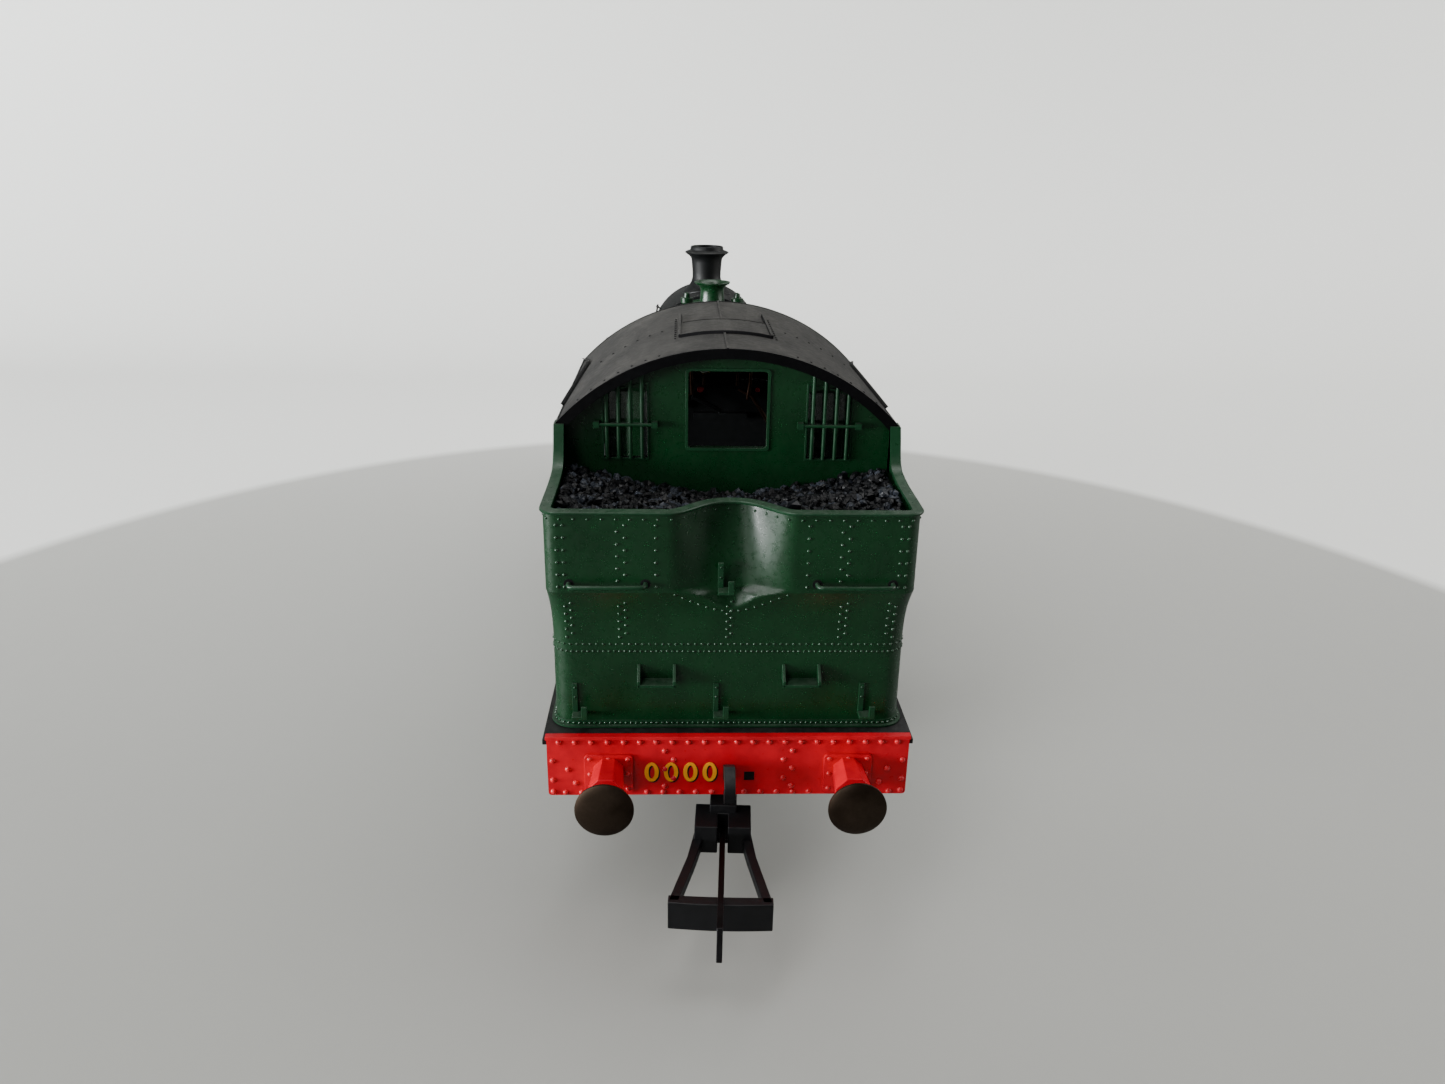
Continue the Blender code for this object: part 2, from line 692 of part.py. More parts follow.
def pony_truck():
    """A radius arm under the cylinders with cheeks that hold the pony axle."""
    arm_z = (2.6, 3.6)
    at = (PONY_PIVOT_X, 0, 0)
    reach = PONY_X - PONY_PIVOT_X
    top_z = 9.6
    arm = plate(
        "pony_truck",
        [[(-2.0, arm_z[0]), (reach - 5.0, arm_z[0]), (reach - 3.6, 3.6), (reach - 3.6, top_z),
          (reach + 2.6, top_z), (reach + 2.6, top_z + 1.2), (reach - 4.8, top_z + 1.2),
          (reach - 4.8, arm_z[1] + 0.4), (reach - 5.3, arm_z[1]), (-2.0, arm_z[1])]],
        "Y",
        -3.2,
        3.2,
        at,
    )
    cheeks = []
    for side in (1, -1):
        slot = 1.08
        outline = [(reach + 2.5, top_z + 0.6), (reach - 2.5, top_z + 0.6), (reach - 2.5, 4.6)]
        outline += [(reach - slot, 4.6)]
        outline += arc(reach, PONY_RADIUS, slot, 180, 0, 8)
        outline += [(reach + slot, 4.6), (reach + 2.5, 4.6)]
        y0, y1 = band(side, (2.4, 3.9))
        cheeks.append(plate(f"pony_cheek_{side_name(side)}", [outline], "Y", y0, y1, at))
    stem = rod("pony_pivot", (0, 0, arm_z[0] + 0.2), (0, 0, 14.6), 1.0, 12, at)
    join(arm, stem, *cheeks)
    return finish(arm, PLASTIC)


# ---------------------------------------------------------------- ends


def buffer_beam(end):
    """The beam with its four-sided buffer bases and round housings."""
    name = f"buffer_beam_{end_name(end)}"
    face = FRONT if end > 0 else REAR
    back = face - end * BEAM_THICKNESS
    x0, x1 = sorted((face, back))
    half = BEAM_WIDTH / 2
    beam = box(name, (x0, -half, BEAM_Z[0]), (x1, half, BEAM_Z[1]))
    adds, cuts = [], []
    for side in (1, -1):
        y = BUFFER_Y * side
        label = f"{end_name(end)}_{side_name(side)}"
        base = sorted((face - end * 0.3, face + end * 0.3))
        adds.append(box(f"base_{label}", (base[0], y - 2.3, 11.3), (base[1], y + 2.3, 15.75)))
        housing = [
            (face - end * 0.3, 1.55),
            (face + end * HOUSING_LENGTH, 1.75),
        ]
        (near_x, near_r), (far_x, far_r) = housing
        start, stop = (near_x, y, BUFFER_Z), (far_x, y, BUFFER_Z)
        adds.append(cone(f"housing_{label}", start, stop, (near_r, far_r), 16))
        bore = (face, y, BUFFER_Z), (far_x + end * 0.5, y, BUFFER_Z)
        cuts.append(rod(f"spring_bore_{label}", bore[0], bore[1], 1.2, 16))
        stem = (back - end * 0.5, y, BUFFER_Z), (face + end, y, BUFFER_Z)
        cuts.append(rod(f"stem_hole_{label}", stem[0], stem[1], 0.55, 12))
    hole_y = -2.0
    cuts.append(box(f"pipe_hole_{name}", (x0 - 1, hole_y - 0.5, 12.45), (x1 + 1, hole_y + 0.5, 13.45)))
    cuts.append(box(f"hook_hole_{name}", (x0 - 1, -0.6, 12.2), (x1 + 1, 0.6, 14.6)))
    join(beam, *adds)
    cut(beam, *cuts)
    return finish(beam, RED)


def buffer_head(end, side):
    """Domed head, guide sleeve and spring stem, with its back end upset behind the beam."""
    name = f"buffer_{end_name(end)}_{side_name(side)}"
    tip = BUFFER_REACH
    profile = [
        (0.0, tip),
        (1.7, tip - 0.12),
        (BUFFER_HEAD_RADIUS, tip - 0.42),
        (BUFFER_HEAD_RADIUS, tip - 0.62),
        (1.05, tip - 0.95),
        (1.05, tip - 3.3),
        (0.45, tip - 3.3),
        (0.45, -BEAM_THICKNESS - GAP),
        (0.85, -BEAM_THICKNESS - GAP),
        (0.85, -BEAM_THICKNESS - 0.4),
        (0.0, -BEAM_THICKNESS - 0.4),
    ]
    at = (FRONT if end > 0 else REAR, BUFFER_Y * side, BUFFER_Z)
    return finish(turned(name, profile, (end, 0, 0), at, 18), DARK_STEEL)


def buffer_spring(end, side):
    """A compression spring round the stem, from the beam to the guide sleeve."""
    name = f"buffer_spring_{end_name(end)}_{side_name(side)}"
    at = (FRONT if end > 0 else REAR, BUFFER_Y * side, BUFFER_Z)
    curve = bpy.data.curves.new(name, "CURVE")
    curve.dimensions = "3D"
    curve.bevel_depth = 0.14 * MM
    curve.bevel_resolution = 0
    curve.use_fill_caps = True
    turns, steps = 4, 7
    length = BUFFER_REACH - 3.3 - 0.4
    spline = curve.splines.new("POLY")
    spline.points.add(turns * steps)
    for i, point in enumerate(spline.points):
        angle = 2 * math.pi * i / steps
        along = 0.2 + length * i / (turns * steps)
        co = (end * along, 0.84 * math.cos(angle), 0.84 * math.sin(angle))
        point.co = (*(v * MM for v in co), 1)
    wire = bpy.data.objects.new(name, curve)
    bpy.context.scene.collection.objects.link(wire)
    graph = bpy.context.evaluated_depsgraph_get()
    solid = bpy.data.meshes.new_from_object(wire.evaluated_get(graph))
    bpy.data.objects.remove(wire)
    bm = bmesh.new()
    bm.from_mesh(solid)
    bmesh.ops.remove_doubles(bm, verts=bm.verts, dist=0.0000005)
    return finish(from_bmesh(name, bm, at), STEEL)


def draw_hook(end):
    """The fixed hook in the middle of the beam."""
    name = f"draw_hook_{end_name(end)}"
    outline = (
        [(-0.6, 12.5), (-0.6, 14.3), (0.9, 14.9), (1.9, 15.3)]
        + arc(2.2, 13.4, 1.5, 60, -100, 6)
        + [(1.3, 12.2), (1.6, 13.0)]
        + arc(2.2, 13.4, 0.55, -60, 60, 3)
        + [(1.2, 13.7), (0.4, 12.9)]
    )
    face = FRONT if end > 0 else REAR
    placed = [(face + end * x, z) for x, z in outline]
    return finish(plate(name, [placed], "Y", -0.5, 0.5), BLACK)


def coupling_empty(end):
    empty = bpy.data.objects.new(f"coupling_pivot_{end_name(end)}", None)
    face = FRONT if end > 0 else REAR
    empty.location = Vector((face - end * COUPLING_PIVOT, 0, 0)) * MM
    empty.rotation_euler.z = math.radians(COUPLING_SWING[end])
    empty.parent = FRAME
    PARTS.objects.link(empty)
    return empty


def coupling_loop(end, pivot):
    """A plug-in arm under the beam that widens into the flat bumper bar."""
    name = f"coupling_{end_name(end)}"
    reach = COUPLING_PIVOT + COUPLING_FACE
    bar = [(reach - 1.2, -4.65), (reach - 0.15, -4.65), (reach, -2.0)]
    bar += [(reach, 2.0), (reach - 0.15, 4.65), (reach - 1.2, 4.65)]
    arms = []
    for side in (1, -1):
        arm = [(reach - 0.6, 4.6), (reach - 0.6, 3.7), (HOOK_X - 1.0, 1.6), (HOOK_X - 1.0, 2.6)]
        arm = [(end * x, side * y) for x, y in arm]
        arms.append(plate(f"{name}_arm_{side_name(side)}", [arm], "Z", 6.6, 7.55))
    loop = plate(name, [[(end * x, y) for x, y in bar]], "Z", *LOOP_Z)

    def block(label, low, high):
        x0, x1 = sorted((end * low[0], end * high[0]))
        return box(f"{name}_{label}", (x0, low[1], low[2]), (x1, high[1], high[2]))

    head = block("head", (HOOK_X - 3.0, -2.7, 6.0), (HOOK_X + 0.8, 2.7, 9.0))
    stem = block("stem", (-1.2, -1.3, 8.0), (HOOK_X - 1.2, 1.3, 9.8))
    post = rod(f"{name}_post", (0, 0, 9.0), (0, 0, 14.6), 0.8, 12)
    slot = block("slot", (HOOK_X - 1.4, -0.45, 5.0), (HOOK_X + 2.0, 0.45, 9.9))
    pin_x = end * HOOK_X
    pin = rod(f"{name}_pin", (pin_x, -0.8, HOOK_Z), (pin_x, 0.8, HOOK_Z), 0.25, 10)
    join(loop, head, stem, post, *arms)
    cut(loop, slot)
    join(loop, pin)
    for piece in [loop] + [m.object for m in loop.modifiers]:
        piece.parent = pivot
    return finish(loop, PLASTIC)


def coupling_hook(end, pivot):
    """The thin hook that lifts over the other vehicle's bar, with its dropper below."""
    name = f"coupling_hook_{end_name(end)}"
    reach = COUPLING_PIVOT + COUPLING_FACE + 5.0 - HOOK_X
    outline = [
        (-1.0, -0.5),
        (-0.4, -0.95),
        (0.7, -1.0),
        (1.2, -5.0),
        (1.7, -5.0),
        (2.0, -0.5),
        (2.8, 1.0),
        (reach - 2.6, 1.0),
        (reach - 2.7, -0.5),
        (reach - 1.7, -1.0),
        (reach, 0.1),
        (reach - 1.3, 1.7),
        (2.0, 1.7),
        (-0.4, 0.75),
        (-1.0, 0.3),
    ]
    eye = arc(0, 0, 0.32, 0, 315, 7)
    at = (end * HOOK_X, 0, HOOK_Z)
    placed = [(end * x, z) for x, z in outline]
    hook = plate(name, [placed, eye], "Y", -0.28, 0.28, at)
    hook.parent = pivot
    return finish(hook, DARK_STEEL)


# ---------------------------------------------------------------- boiler


def boiler():
    """The tapered barrel joined to a square-shouldered firebox, hollow and open underneath."""
    x0, x1 = FIREBOX_X[1] - 1.0, SMOKEBOX_X[0] - GAP
    barrel = turned(
        "boiler",
        [(9.1, x1), (10.0, x1), (11.0, x0 + 14.0), (11.0, x0), (10.1, x0), (10.1, x0 + 14.0)],
        (1, 0, 0),
        (0, 0, BOILER_Z),
        32,
    )

    def section(inset):
        half, top, shoulder = 11.4 - inset, 44.1 - inset, 4.5 - inset
        outline = [(-half, 24.0 + inset * 0.0), (half, 24.0)]
        outline += arc(half - shoulder, top - shoulder, shoulder, 0, 75, 4)
        outline += arc(-(half - shoulder), top - shoulder, shoulder, 105, 180, 4)
        return outline

    firebox = plate("firebox", [section(0)], "X", FIREBOX_X[0], FIREBOX_X[1])
    inner = [(u, v - 2.0 if v < 25 else v) for u, v in section(WALL)]
    hollow = plate("firebox_hollow", [inner], "X", FIREBOX_X[0] + WALL, FIREBOX_X[1] + 0.5)
    cut(firebox, hollow)
    join(barrel, firebox)
    floor = box("boiler_open_underside", (FIREBOX_X[0] - 2, -9.0, 10), (TANK_X[1] - 8.0, 9.0, 24.9))
    cut(barrel, floor)
    for side in (1, -1):
        y = 3.9 * side
        clack = rod(f"clack_{side_name(side)}", (SAFETY_VALVE_X, y, 41), (SAFETY_VALVE_X, y, 46.6), 1.0, 12)
        cap = cone(
            f"clack_cap_{side_name(side)}",
            (SAFETY_VALVE_X, y, 46.5),
            (SAFETY_VALVE_X, y, 48.0),
            (0.9, 0.35),
            12,
        )
        join(barrel, clack, cap)
    return finish(barrel, GREEN)


def smokebox():
    x0, x1 = SMOKEBOX_X
    shell = turned(
        "smokebox",
        [(9.7, x1), (SMOKEBOX_RADIUS, x1), (SMOKEBOX_RADIUS, x0), (9.0, x0), (9.0, x0 + 1.0), (9.7, x0 + 1.0)],
        (1, 0, 0),
        (0, 0, BOILER_Z),
        36,
    )
    low = LOW_PLATE_Z + 4.0 + GAP
    saddle_outline = [(-7.5, low), (7.5, low), (6.0, 22.6), (6.6, 25.4), (-6.6, 25.4), (-6.0, 22.6)]
    saddle = plate("saddle", [saddle_outline], "X", x0 + 2.0, x1 - 3.0)
    clear = rod("saddle_clearance", (x0 + 1, 0, BOILER_Z), (x1 - 1, 0, BOILER_Z), 10.1, 36)
    cut(saddle, clear)
    join(shell, saddle)
    cut(shell, rod("blast_hole", (CHIMNEY_X, 0, 38), (CHIMNEY_X, 0, 48), 1.7, 16))
    return finish(shell, BLACK)


def smokebox_door():
    """Front ring, dished door and the central dart with its two handles."""
    x = SMOKEBOX_X[1] + GAP
    profile = [
        (0.0, x + 1.7),
        (3.5, x + 1.55),
        (6.5, x + 1.1),
        (8.3, x + 0.5),
        (SMOKEBOX_RADIUS, x + 0.5),
        (SMOKEBOX_RADIUS, x),
        (0.0, x),
    ]
    door = turned("smokebox_door", profile, (1, 0, 0), (0, 0, BOILER_Z), 32)
    boss = rod("dart_boss", (x + 1.2, 0, BOILER_Z), (x + 2.6, 0, BOILER_Z), 0.6, 12)
    handle = box("dart_handle", (x + 2.2, -0.25, BOILER_Z - 2.6), (x + 2.5, 0.25, BOILER_Z))
    grip = box("dart_grip", (x + 1.9, -1.9, BOILER_Z - 0.25), (x + 2.15, 0, BOILER_Z + 0.25))
    join(door, boss, handle, grip)
    for z in (-2.2, 2.2):
        height = BOILER_Z + z
        strap = box(f"hinge_strap_{z}", (x + 0.3, -8.9, height - 0.35), (x + 1.3, -2.0, height + 0.35))
        join(door, strap)
    return finish(door, BLACK)


def chimney():
    at = (CHIMNEY_X, 0, 0)
    top = 51.3
    profile = [
        (3.0, top),
        (3.45, top),
        (3.6, top - 0.6),
        (4.1, top - 0.75),
        (4.1, top - 1.05),
        (3.2, top - 1.8),
        (2.65, 45.0),
        (3.1, 43.9),
        (4.1, 43.1),
        (4.1, 41.6),
        (1.7, 41.6),
        (1.7, top - 0.5),
    ]
    stack = turned("chimney", profile, (0, 0, 1), at, 20)
    x0, x1 = SMOKEBOX_X
    seat = rod("chimney_seat", (x0, 0, BOILER_Z), (x1, 0, BOILER_Z), SMOKEBOX_RADIUS + GAP, 36)
    cut(stack, seat)
    return finish(stack, BLACK)


def safety_valve_bonnet():
    at = (SAFETY_VALVE_X, 0, 0)
    top = 49.7
    profile = [
        (2.1, top - 0.2),
        (2.75, top),
        (2.8, top - 0.25),
        (2.2, top - 0.7),
        (1.95, top - 1.4),
        (2.0, 46.4),
        (2.35, 45.0),
        (2.75, 44.0),
        (2.75, 42.0),
        (1.2, 42.0),
        (1.2, top - 1.4),
    ]
    bonnet = turned("safety_valve_bonnet", profile, (0, 0, 1), at, 18)
    x0, x1 = SAFETY_VALVE_X - 6, SAFETY_VALVE_X + 6
    seat = rod("bonnet_seat", (x0, 0, BOILER_Z), (x1, 0, BOILER_Z), 11.0 + GAP, 32)
    cut(bonnet, seat)
    return finish(bonnet, GREEN)


# ---------------------------------------------------------------- tanks, cab and bunker


def side_tank(side):
    """A hollow water tank beside the boiler with a sloping front, open below."""
    label = side_name(side)
    x0, x1 = TANK_X
    base = HIGH_PLATE_Z + GAP
    slope_x, front_z = x1 - 17.0, 31.5
    near = 11.6
    outline = [(x0, base), (x1, base), (x1, front_z), (slope_x, RIM_Z), (x0, RIM_Z)]
    tank = plate(f"side_tank_{label}", [outline], "Y", *band(side, (near, BODY_WIDTH / 2)))
    wall = WALL
    inner = [
        (x0 + wall, base - 1.0),
        (x1 - wall, base - 1.0),
        (x1 - wall, front_z - 0.4),
        (slope_x - 0.2, RIM_Z - wall),
        (x0 + wall, RIM_Z - wall),
    ]
    y_span = band(side, (near + wall, BODY_WIDTH / 2 - wall))
    cut(tank, plate(f"tank_hollow_{label}", [inner], "Y", *y_span))
    y = side * (near + 2.9)
    lid_x = x0 + 16.0
    lid = rod(f"filler_{label}", (lid_x, y, RIM_Z - 0.3), (lid_x, y, RIM_Z + 1.0), 1.7, 16)
    vent_x = slope_x - 4.0
    vent = rod(f"vent_{label}", (vent_x, y, RIM_Z - 0.3), (vent_x, y, RIM_Z + 1.6), 0.7, 12)
    join(tank, lid, vent)
    return finish(tank, GREEN)


def bunker_profile(z):
    """The X of the bunker's rear face: upright, then swelling out by a curve to an upright top."""
    low, high = 25.2, 31.4
    if z <= low:
        return BUNKER_LOWER_X
    if z >= high:
        return BUNKER_UPPER_X
    t = (z - low) / (high - low)
    return BUNKER_LOWER_X + (BUNKER_UPPER_X - BUNKER_LOWER_X) * t**2.2


def recess_depth(y, z):
    """How far forward of the upper rear face the lamp recess reaches."""
    half_width, foot_z, depth = 5.4, 29.6, 3.3
    if abs(y) >= half_width or z <= foot_z:
        return 0.0
    rise = (z - foot_z) / (RIM_Z - foot_z)
    return depth * (0.25 + 0.75 * rise) * 0.5 * (1 + math.cos(math.pi * y / half_width))


def bunker():
    """Rear and side walls as one bent sheet, with a floor for the coal."""
    half = BODY_WIDTH / 2 - WALL / 2
    front_x = CAB_X[0] - GAP
    corner = 1.3
    sides = [front_x, front_x - 2.1, REAR + 13.2, REAR + 9.0]
    levels = [LOW_PLATE_Z + GAP, 25.2, 28.2, 30.2, 31.2, 31.4, 35.0, RIM_Z]
    rear_y = [half - corner, 5.4, 4.1, 2.8, 1.4, 0.0]
    rear_y += [-y for y in rear_y[-2::-1]]
    bm = bmesh.new()
    rows = []
    for level, z in enumerate(levels):
        face_x = bunker_profile(z) + WALL / 2
        points = [(x, half) for x in sides]
        points += arc(face_x + corner, half - corner, corner, 90, 150, 2)
        for y in rear_y:
            ahead = BUNKER_UPPER_X + WALL / 2 + recess_depth(y, z)
            points.append((max(face_x, ahead) if z > 29.6 else face_x, y))
        points += [(x, -y) for x, y in points[len(sides) + 2 :: -1]]
        row = []
        for x, y in points:
            top = z
            if level == len(levels) - 1 and x > REAR + 14.5:
                top = EAVE_Z - 0.4
            elif level == len(levels) - 1 and x > REAR + 13.0:
                top = RIM_Z + 0.1
            row.append(bm.verts.new((x * MM, y * MM, top * MM)))
        rows.append(row)
    for a, b in zip(rows, rows[1:]):
        for i in range(len(a) - 1):
            bm.faces.new((a[i], a[i + 1], b[i + 1], b[i]))
    sheet = from_bmesh("bunker", bm)
    thick = sheet.modifiers.new("sheet", "SOLIDIFY")
    thick.thickness = WALL * MM
    thick.offset = 0.0
    thick.use_even_offset = True
    floor_x = (BUNKER_LOWER_X + 0.5, front_x)
    for name, z in (("bunker_floor", LOW_PLATE_Z + 0.3), ("coal_floor", 28.0)):
        low = (floor_x[0], -half, z)
        join(sheet, box(name, low, (floor_x[1], half, z + 0.8)))
    for side in (1, -1):
        label = side_name(side)
        y0, y1 = sorted((side * 7.8, side * 14.8))
        start, stop = (BUNKER_UPPER_X - 0.75, y0, 32.3), (BUNKER_UPPER_X - 0.75, y1, 32.3)
        rail = rod(f"grab_rail_{label}", start, stop, 0.3, 10)
        ends = []
        for i, y in enumerate((y0 + 0.3, y1 - 0.3)):
            a, b = (BUNKER_UPPER_X - 0.75, y, 32.3), (BUNKER_UPPER_X + 0.4, y, 32.3)
            ends.append(rod(f"grab_post_{label}_{i}", a, b, 0.28, 8))
        y0, y1 = sorted((side * 5.0, side * 8.7))
        step = box(
            f"step_{label}", (BUNKER_LOWER_X - 1.3, y0, 21.7), (BUNKER_LOWER_X + 0.4, y1, 22.1)
        )
        join(sheet, rail, step, *ends)
    return finish(sheet, GREEN)


def coal_load():
    """A heap, higher at the sides and low in the middle, with a rough top."""
    rng = random.Random(4)
    half = BODY_WIDTH / 2 - WALL - 0.15
    x0, x1 = BUNKER_UPPER_X + 1.0, CAB_X[0] - 0.2
    columns, count = 8, 14
    bm = bmesh.new()
    top, bottom = [], []
    for i in range(columns + 1):
        x = x0 + (x1 - x0) * i / columns
        upper, lower = [], []
        for j in range(count + 1):
            y = -half + 2 * half * j / count
            edge = x if i else max(x, x0 + recess_depth(y, 37.5) + 0.35)
            z = 35.6 + 2.0 * (abs(y) / half) ** 2 + 0.12 * (x1 - x) / 2
            if 0 < i < columns and 0 < j < count:
                z += rng.uniform(-0.35, 0.35)
            upper.append(bm.verts.new((edge * MM, y * MM, z * MM)))
            lower.append(bm.verts.new((edge * MM, y * MM, 33.0 * MM)))
        top.append(upper)
        bottom.append(lower)
    for i in range(columns):
        for j in range(count):
            bm.faces.new((top[i][j], top[i + 1][j], top[i + 1][j + 1], top[i][j + 1]))
            bm.faces.new((bottom[i][j], bottom[i][j + 1], bottom[i + 1][j + 1], bottom[i + 1][j]))
    for i in range(columns):
        for j in (0, count):
            bm.faces.new((top[i][j], bottom[i][j], bottom[i + 1][j], top[i + 1][j]))
    for j in range(count):
        for i in (0, columns):
            bm.faces.new((top[i][j], top[i][j + 1], bottom[i][j + 1], bottom[i][j]))
    return finish(from_bmesh("coal_load", bm), COAL)


def roof_arc(radius_offset, steps, inset=0.0):
    """Points (Y, Z) of the roof's arc, left to right, at a distance inside its outer skin."""
    half = ROOF_WIDTH / 2
    rise = ROOF_TOP_Z - EAVE_Z
    radius = (half**2 + rise**2) / (2 * rise)
    centre = ROOF_TOP_Z - radius
    reach = math.degrees(math.asin((half - inset) / radius))
    return arc(0, centre, radius - radius_offset, 90 - reach, 90 + reach, steps)


WINDOW_Y = (8.05, 12.5)
WINDOW_Z = (39.7, 47.6)


def cab_shell():
    """Rear and front walls and both side sheets, open at the doorways and under the roof."""
    x0, x1 = CAB_X
    half = BODY_WIDTH / 2
    base = HIGH_PLATE_Z + GAP
    under_roof = roof_arc(ROOF_THICKNESS + GAP, 16, inset=0.35)

    def wall(name, low, high, bottom):
        outline = [(-half, bottom), (half, bottom)] + under_roof
        return plate(name, [outline], "X", low, high)

    shell = wall("cab_shell", x0, x0 + WALL, 24.6)
    front = wall("cab_front", x1 - WALL, x1, base)
    opening = box("tank_side_gap", (x1 - 2, -11.5, 10), (x1 + 1, 11.5, 44.2))
    cut(front, opening)
    side_outline = (
        [(x0 + 0.1, 24.6), (x0 + 5.0, base), (REAR + 25.0, base)]
        + [(REAR + 25.0, 40.0)]
        + arc(REAR + 26.2, 40.8, 1.2, 180, 90, 3)
        + arc(REAR + 38.0, 40.0, 2.0, 90, 0, 3)
        + arc(REAR + 38.0, 34.0, 2.0, 0, -90, 3)
        + [(REAR + 34.5, 32.0), (REAR + 34.5, base), (x1 - 0.1, base)]
        + [(x1 - 0.1, EAVE_Z - 0.5), (x0 + 0.1, EAVE_Z - 0.5)]
    )
    sides = []
    for side in (1, -1):
        y0, y1 = band(side, (half - WALL, half))
        sides.append(plate(f"cab_side_{side_name(side)}", [side_outline], "Y", y0, y1))
    join(shell, front, *sides)
    cuts = [box("shutter_opening", (x0 - 1, -4.0, 40.8), (x0 + 2, 4.0, 48.7))]
    for side in (1, -1):
        label = side_name(side)
        y0, y1 = band(side, WINDOW_Y)
        slope = 47.6 if side > 0 else 46.6
        rear_pane = [(y0, WINDOW_Z[0]), (y1, WINDOW_Z[0]), (y1, slope), (y0, 94.2 - slope)]
        cuts.append(plate(f"rear_window_{label}", [rear_pane], "X", x0 - 1, x0 + 2))
        y0, y1 = band(side, (3.0, 8.5))
        slope = 48.4 if side > 0 else 46.6
        front_pane = [(y0, 45.0), (y1, 45.0), (y1, 95.0 - slope), (y0, slope)]
        cuts.append(plate(f"front_window_{label}", [front_pane], "X", x1 - 2, x1 + 1))
    cut(shell, *cuts)
    return finish(shell, GREEN)


def window_grille(side):
    """Four upright bars on two cross rails, over a rear cab window."""
    label = side_name(side)
    y0, y1 = band(side, WINDOW_Y)
    x = CAB_X[0] - GAP
    low_rail = box(
        f"window_grille_{label}", (x - 0.35, y0 - 0.3, WINDOW_Z[0] - 0.5), (x, y1 + 0.3, WINDOW_Z[0] - 0.1)
    )
    pieces = [box(f"mid_rail_{label}", (x - 0.5, y0 - 0.8, 43.1), (x - 0.1, y1 + 0.8, 43.5))]
    for i in range(4):
        y = y0 + (y1 - y0) * (i + 0.08) / 3.16
        top = 46.9 - 0.45 * (abs(y) - WINDOW_Y[0])
        pieces.append(box(f"bar_{label}_{i}", (x - 0.32, y - 0.17, WINDOW_Z[0] - 0.8), (x, y + 0.17, top)))
    join(low_rail, *pieces)
    return finish(low_rail, GREEN)


def cab_roof():
    """A curved sheet with gutters and a raised sliding ventilator."""
    outline = roof_arc(0, 20) + roof_arc(ROOF_THICKNESS, 20)[::-1]
    roof = plate("cab_roof", [outline], "X", ROOF_X[0], ROOF_X[1])
    hatch_arc = [p for p in roof_arc(-0.3, 40) if abs(p[0]) < 4.9]
    hatch_low = [p for p in roof_arc(0.2, 40) if abs(p[0]) < 4.9]
    hatch = plate(
        "roof_ventilator", [hatch_arc + hatch_low[::-1]], "X", REAR + 22.5, REAR + 37.5
    )
    join(roof, hatch)
    for side in (1, -1):
        points = roof_arc(0.1, 40)
        y, z = points[3] if side > 0 else points[-4]
        strip = box(
            f"gutter_{side_name(side)}",
            (ROOF_X[0] + 0.2, y - 0.15, z - 0.1),
            (ROOF_X[1] - 0.2, y + 0.15, z + 0.4),
        )
        join(roof, strip)
    return finish(roof, ROOF_BLACK)


def backhead():
    """The firebox end in the cab with its floor, regulator, gauges and reverser."""
    x0 = FIREBOX_X[0] - GAP
    floor_z = (24.7, 25.6)
    floor = box("backhead", (CAB_X[0] + WALL + 0.1, -15.8, floor_z[0]), (x0, 15.8, floor_z[1]))
    half, top = 9.6, 43.2
    face_outline = [(-half, floor_z[0] + 0.2), (half, floor_z[0] + 0.2)]
    face_outline += arc(half - 4, top - 4, 4, 0, 90, 4) + arc(4 - half, top - 4, 4, 90, 180, 4)
    face = plate("backhead_face", [face_outline], "X", x0 - 2.2, x0)
    regulator = box("regulator", (x0 - 3.1, -3.2, 38.6), (x0 - 2.0, 3.2, 39.3))
    gauge = rod("gauge", (x0 - 2.9, 4.7, 40.7), (x0 - 1.0, 4.7, 40.7), 0.9, 12)
    door = rod("firehole", (x0 - 2.7, 0, 31.0), (x0 - 2.0, 0, 31.0), 2.2, 16)
    reverser = box("reverser", (x0 - 8.0, -14.5, 25.3), (x0 - 4.0, -12.7, 32.5))
    join(floor, face, regulator, gauge, door, reverser)
    return finish(floor, BLACK)


# ---------------------------------------------------------------- inside


def motor_can():
    x0, x1 = MOTOR_X
    can = rod("motor_can", (x0, 0, WORM_Z), (x1 - 1.2, 0, WORM_Z), MOTOR_RADIUS, 24)
    boss = rod("motor_boss", (x1 - 1.4, 0, WORM_Z), (x1 - 0.4, 0, WORM_Z), 1.8, 16)
    tail = rod("motor_tail", (x0 - 1.5, 0, WORM_Z), (x0 + 0.2, 0, WORM_Z), 1.5, 12)
    join(can, boss, tail)
    hole = rod("motor_bore", (x1 - 3.0, 0, WORM_Z), (x1 + 1, 0, WORM_Z), 0.82, 12)
    cut(can, hole)
    return finish(can, STEEL)


def circuit_board():
    x0 = REAR + 66.0
    z = CHASSIS_TOP_Z + GAP
    board = box("circuit_board", (x0, -4.4, z), (x0 + 24.0, 4.4, z + 1.0))
    socket = box("socket", (x0 + 3.0, -3.0, z + 0.8), (x0 + 13.0, 3.0, z + 4.0))
    join(board, socket)
    for i, x in enumerate((16.0, 19.0, 22.0)):
        low = (x0 + x - 0.8, -2.0, z + 0.8)
        join(board, box(f"component_{i}", low, (x0 + x + 0.8, 2.0, z + 1.8)))
    return finish(board, BOARD)


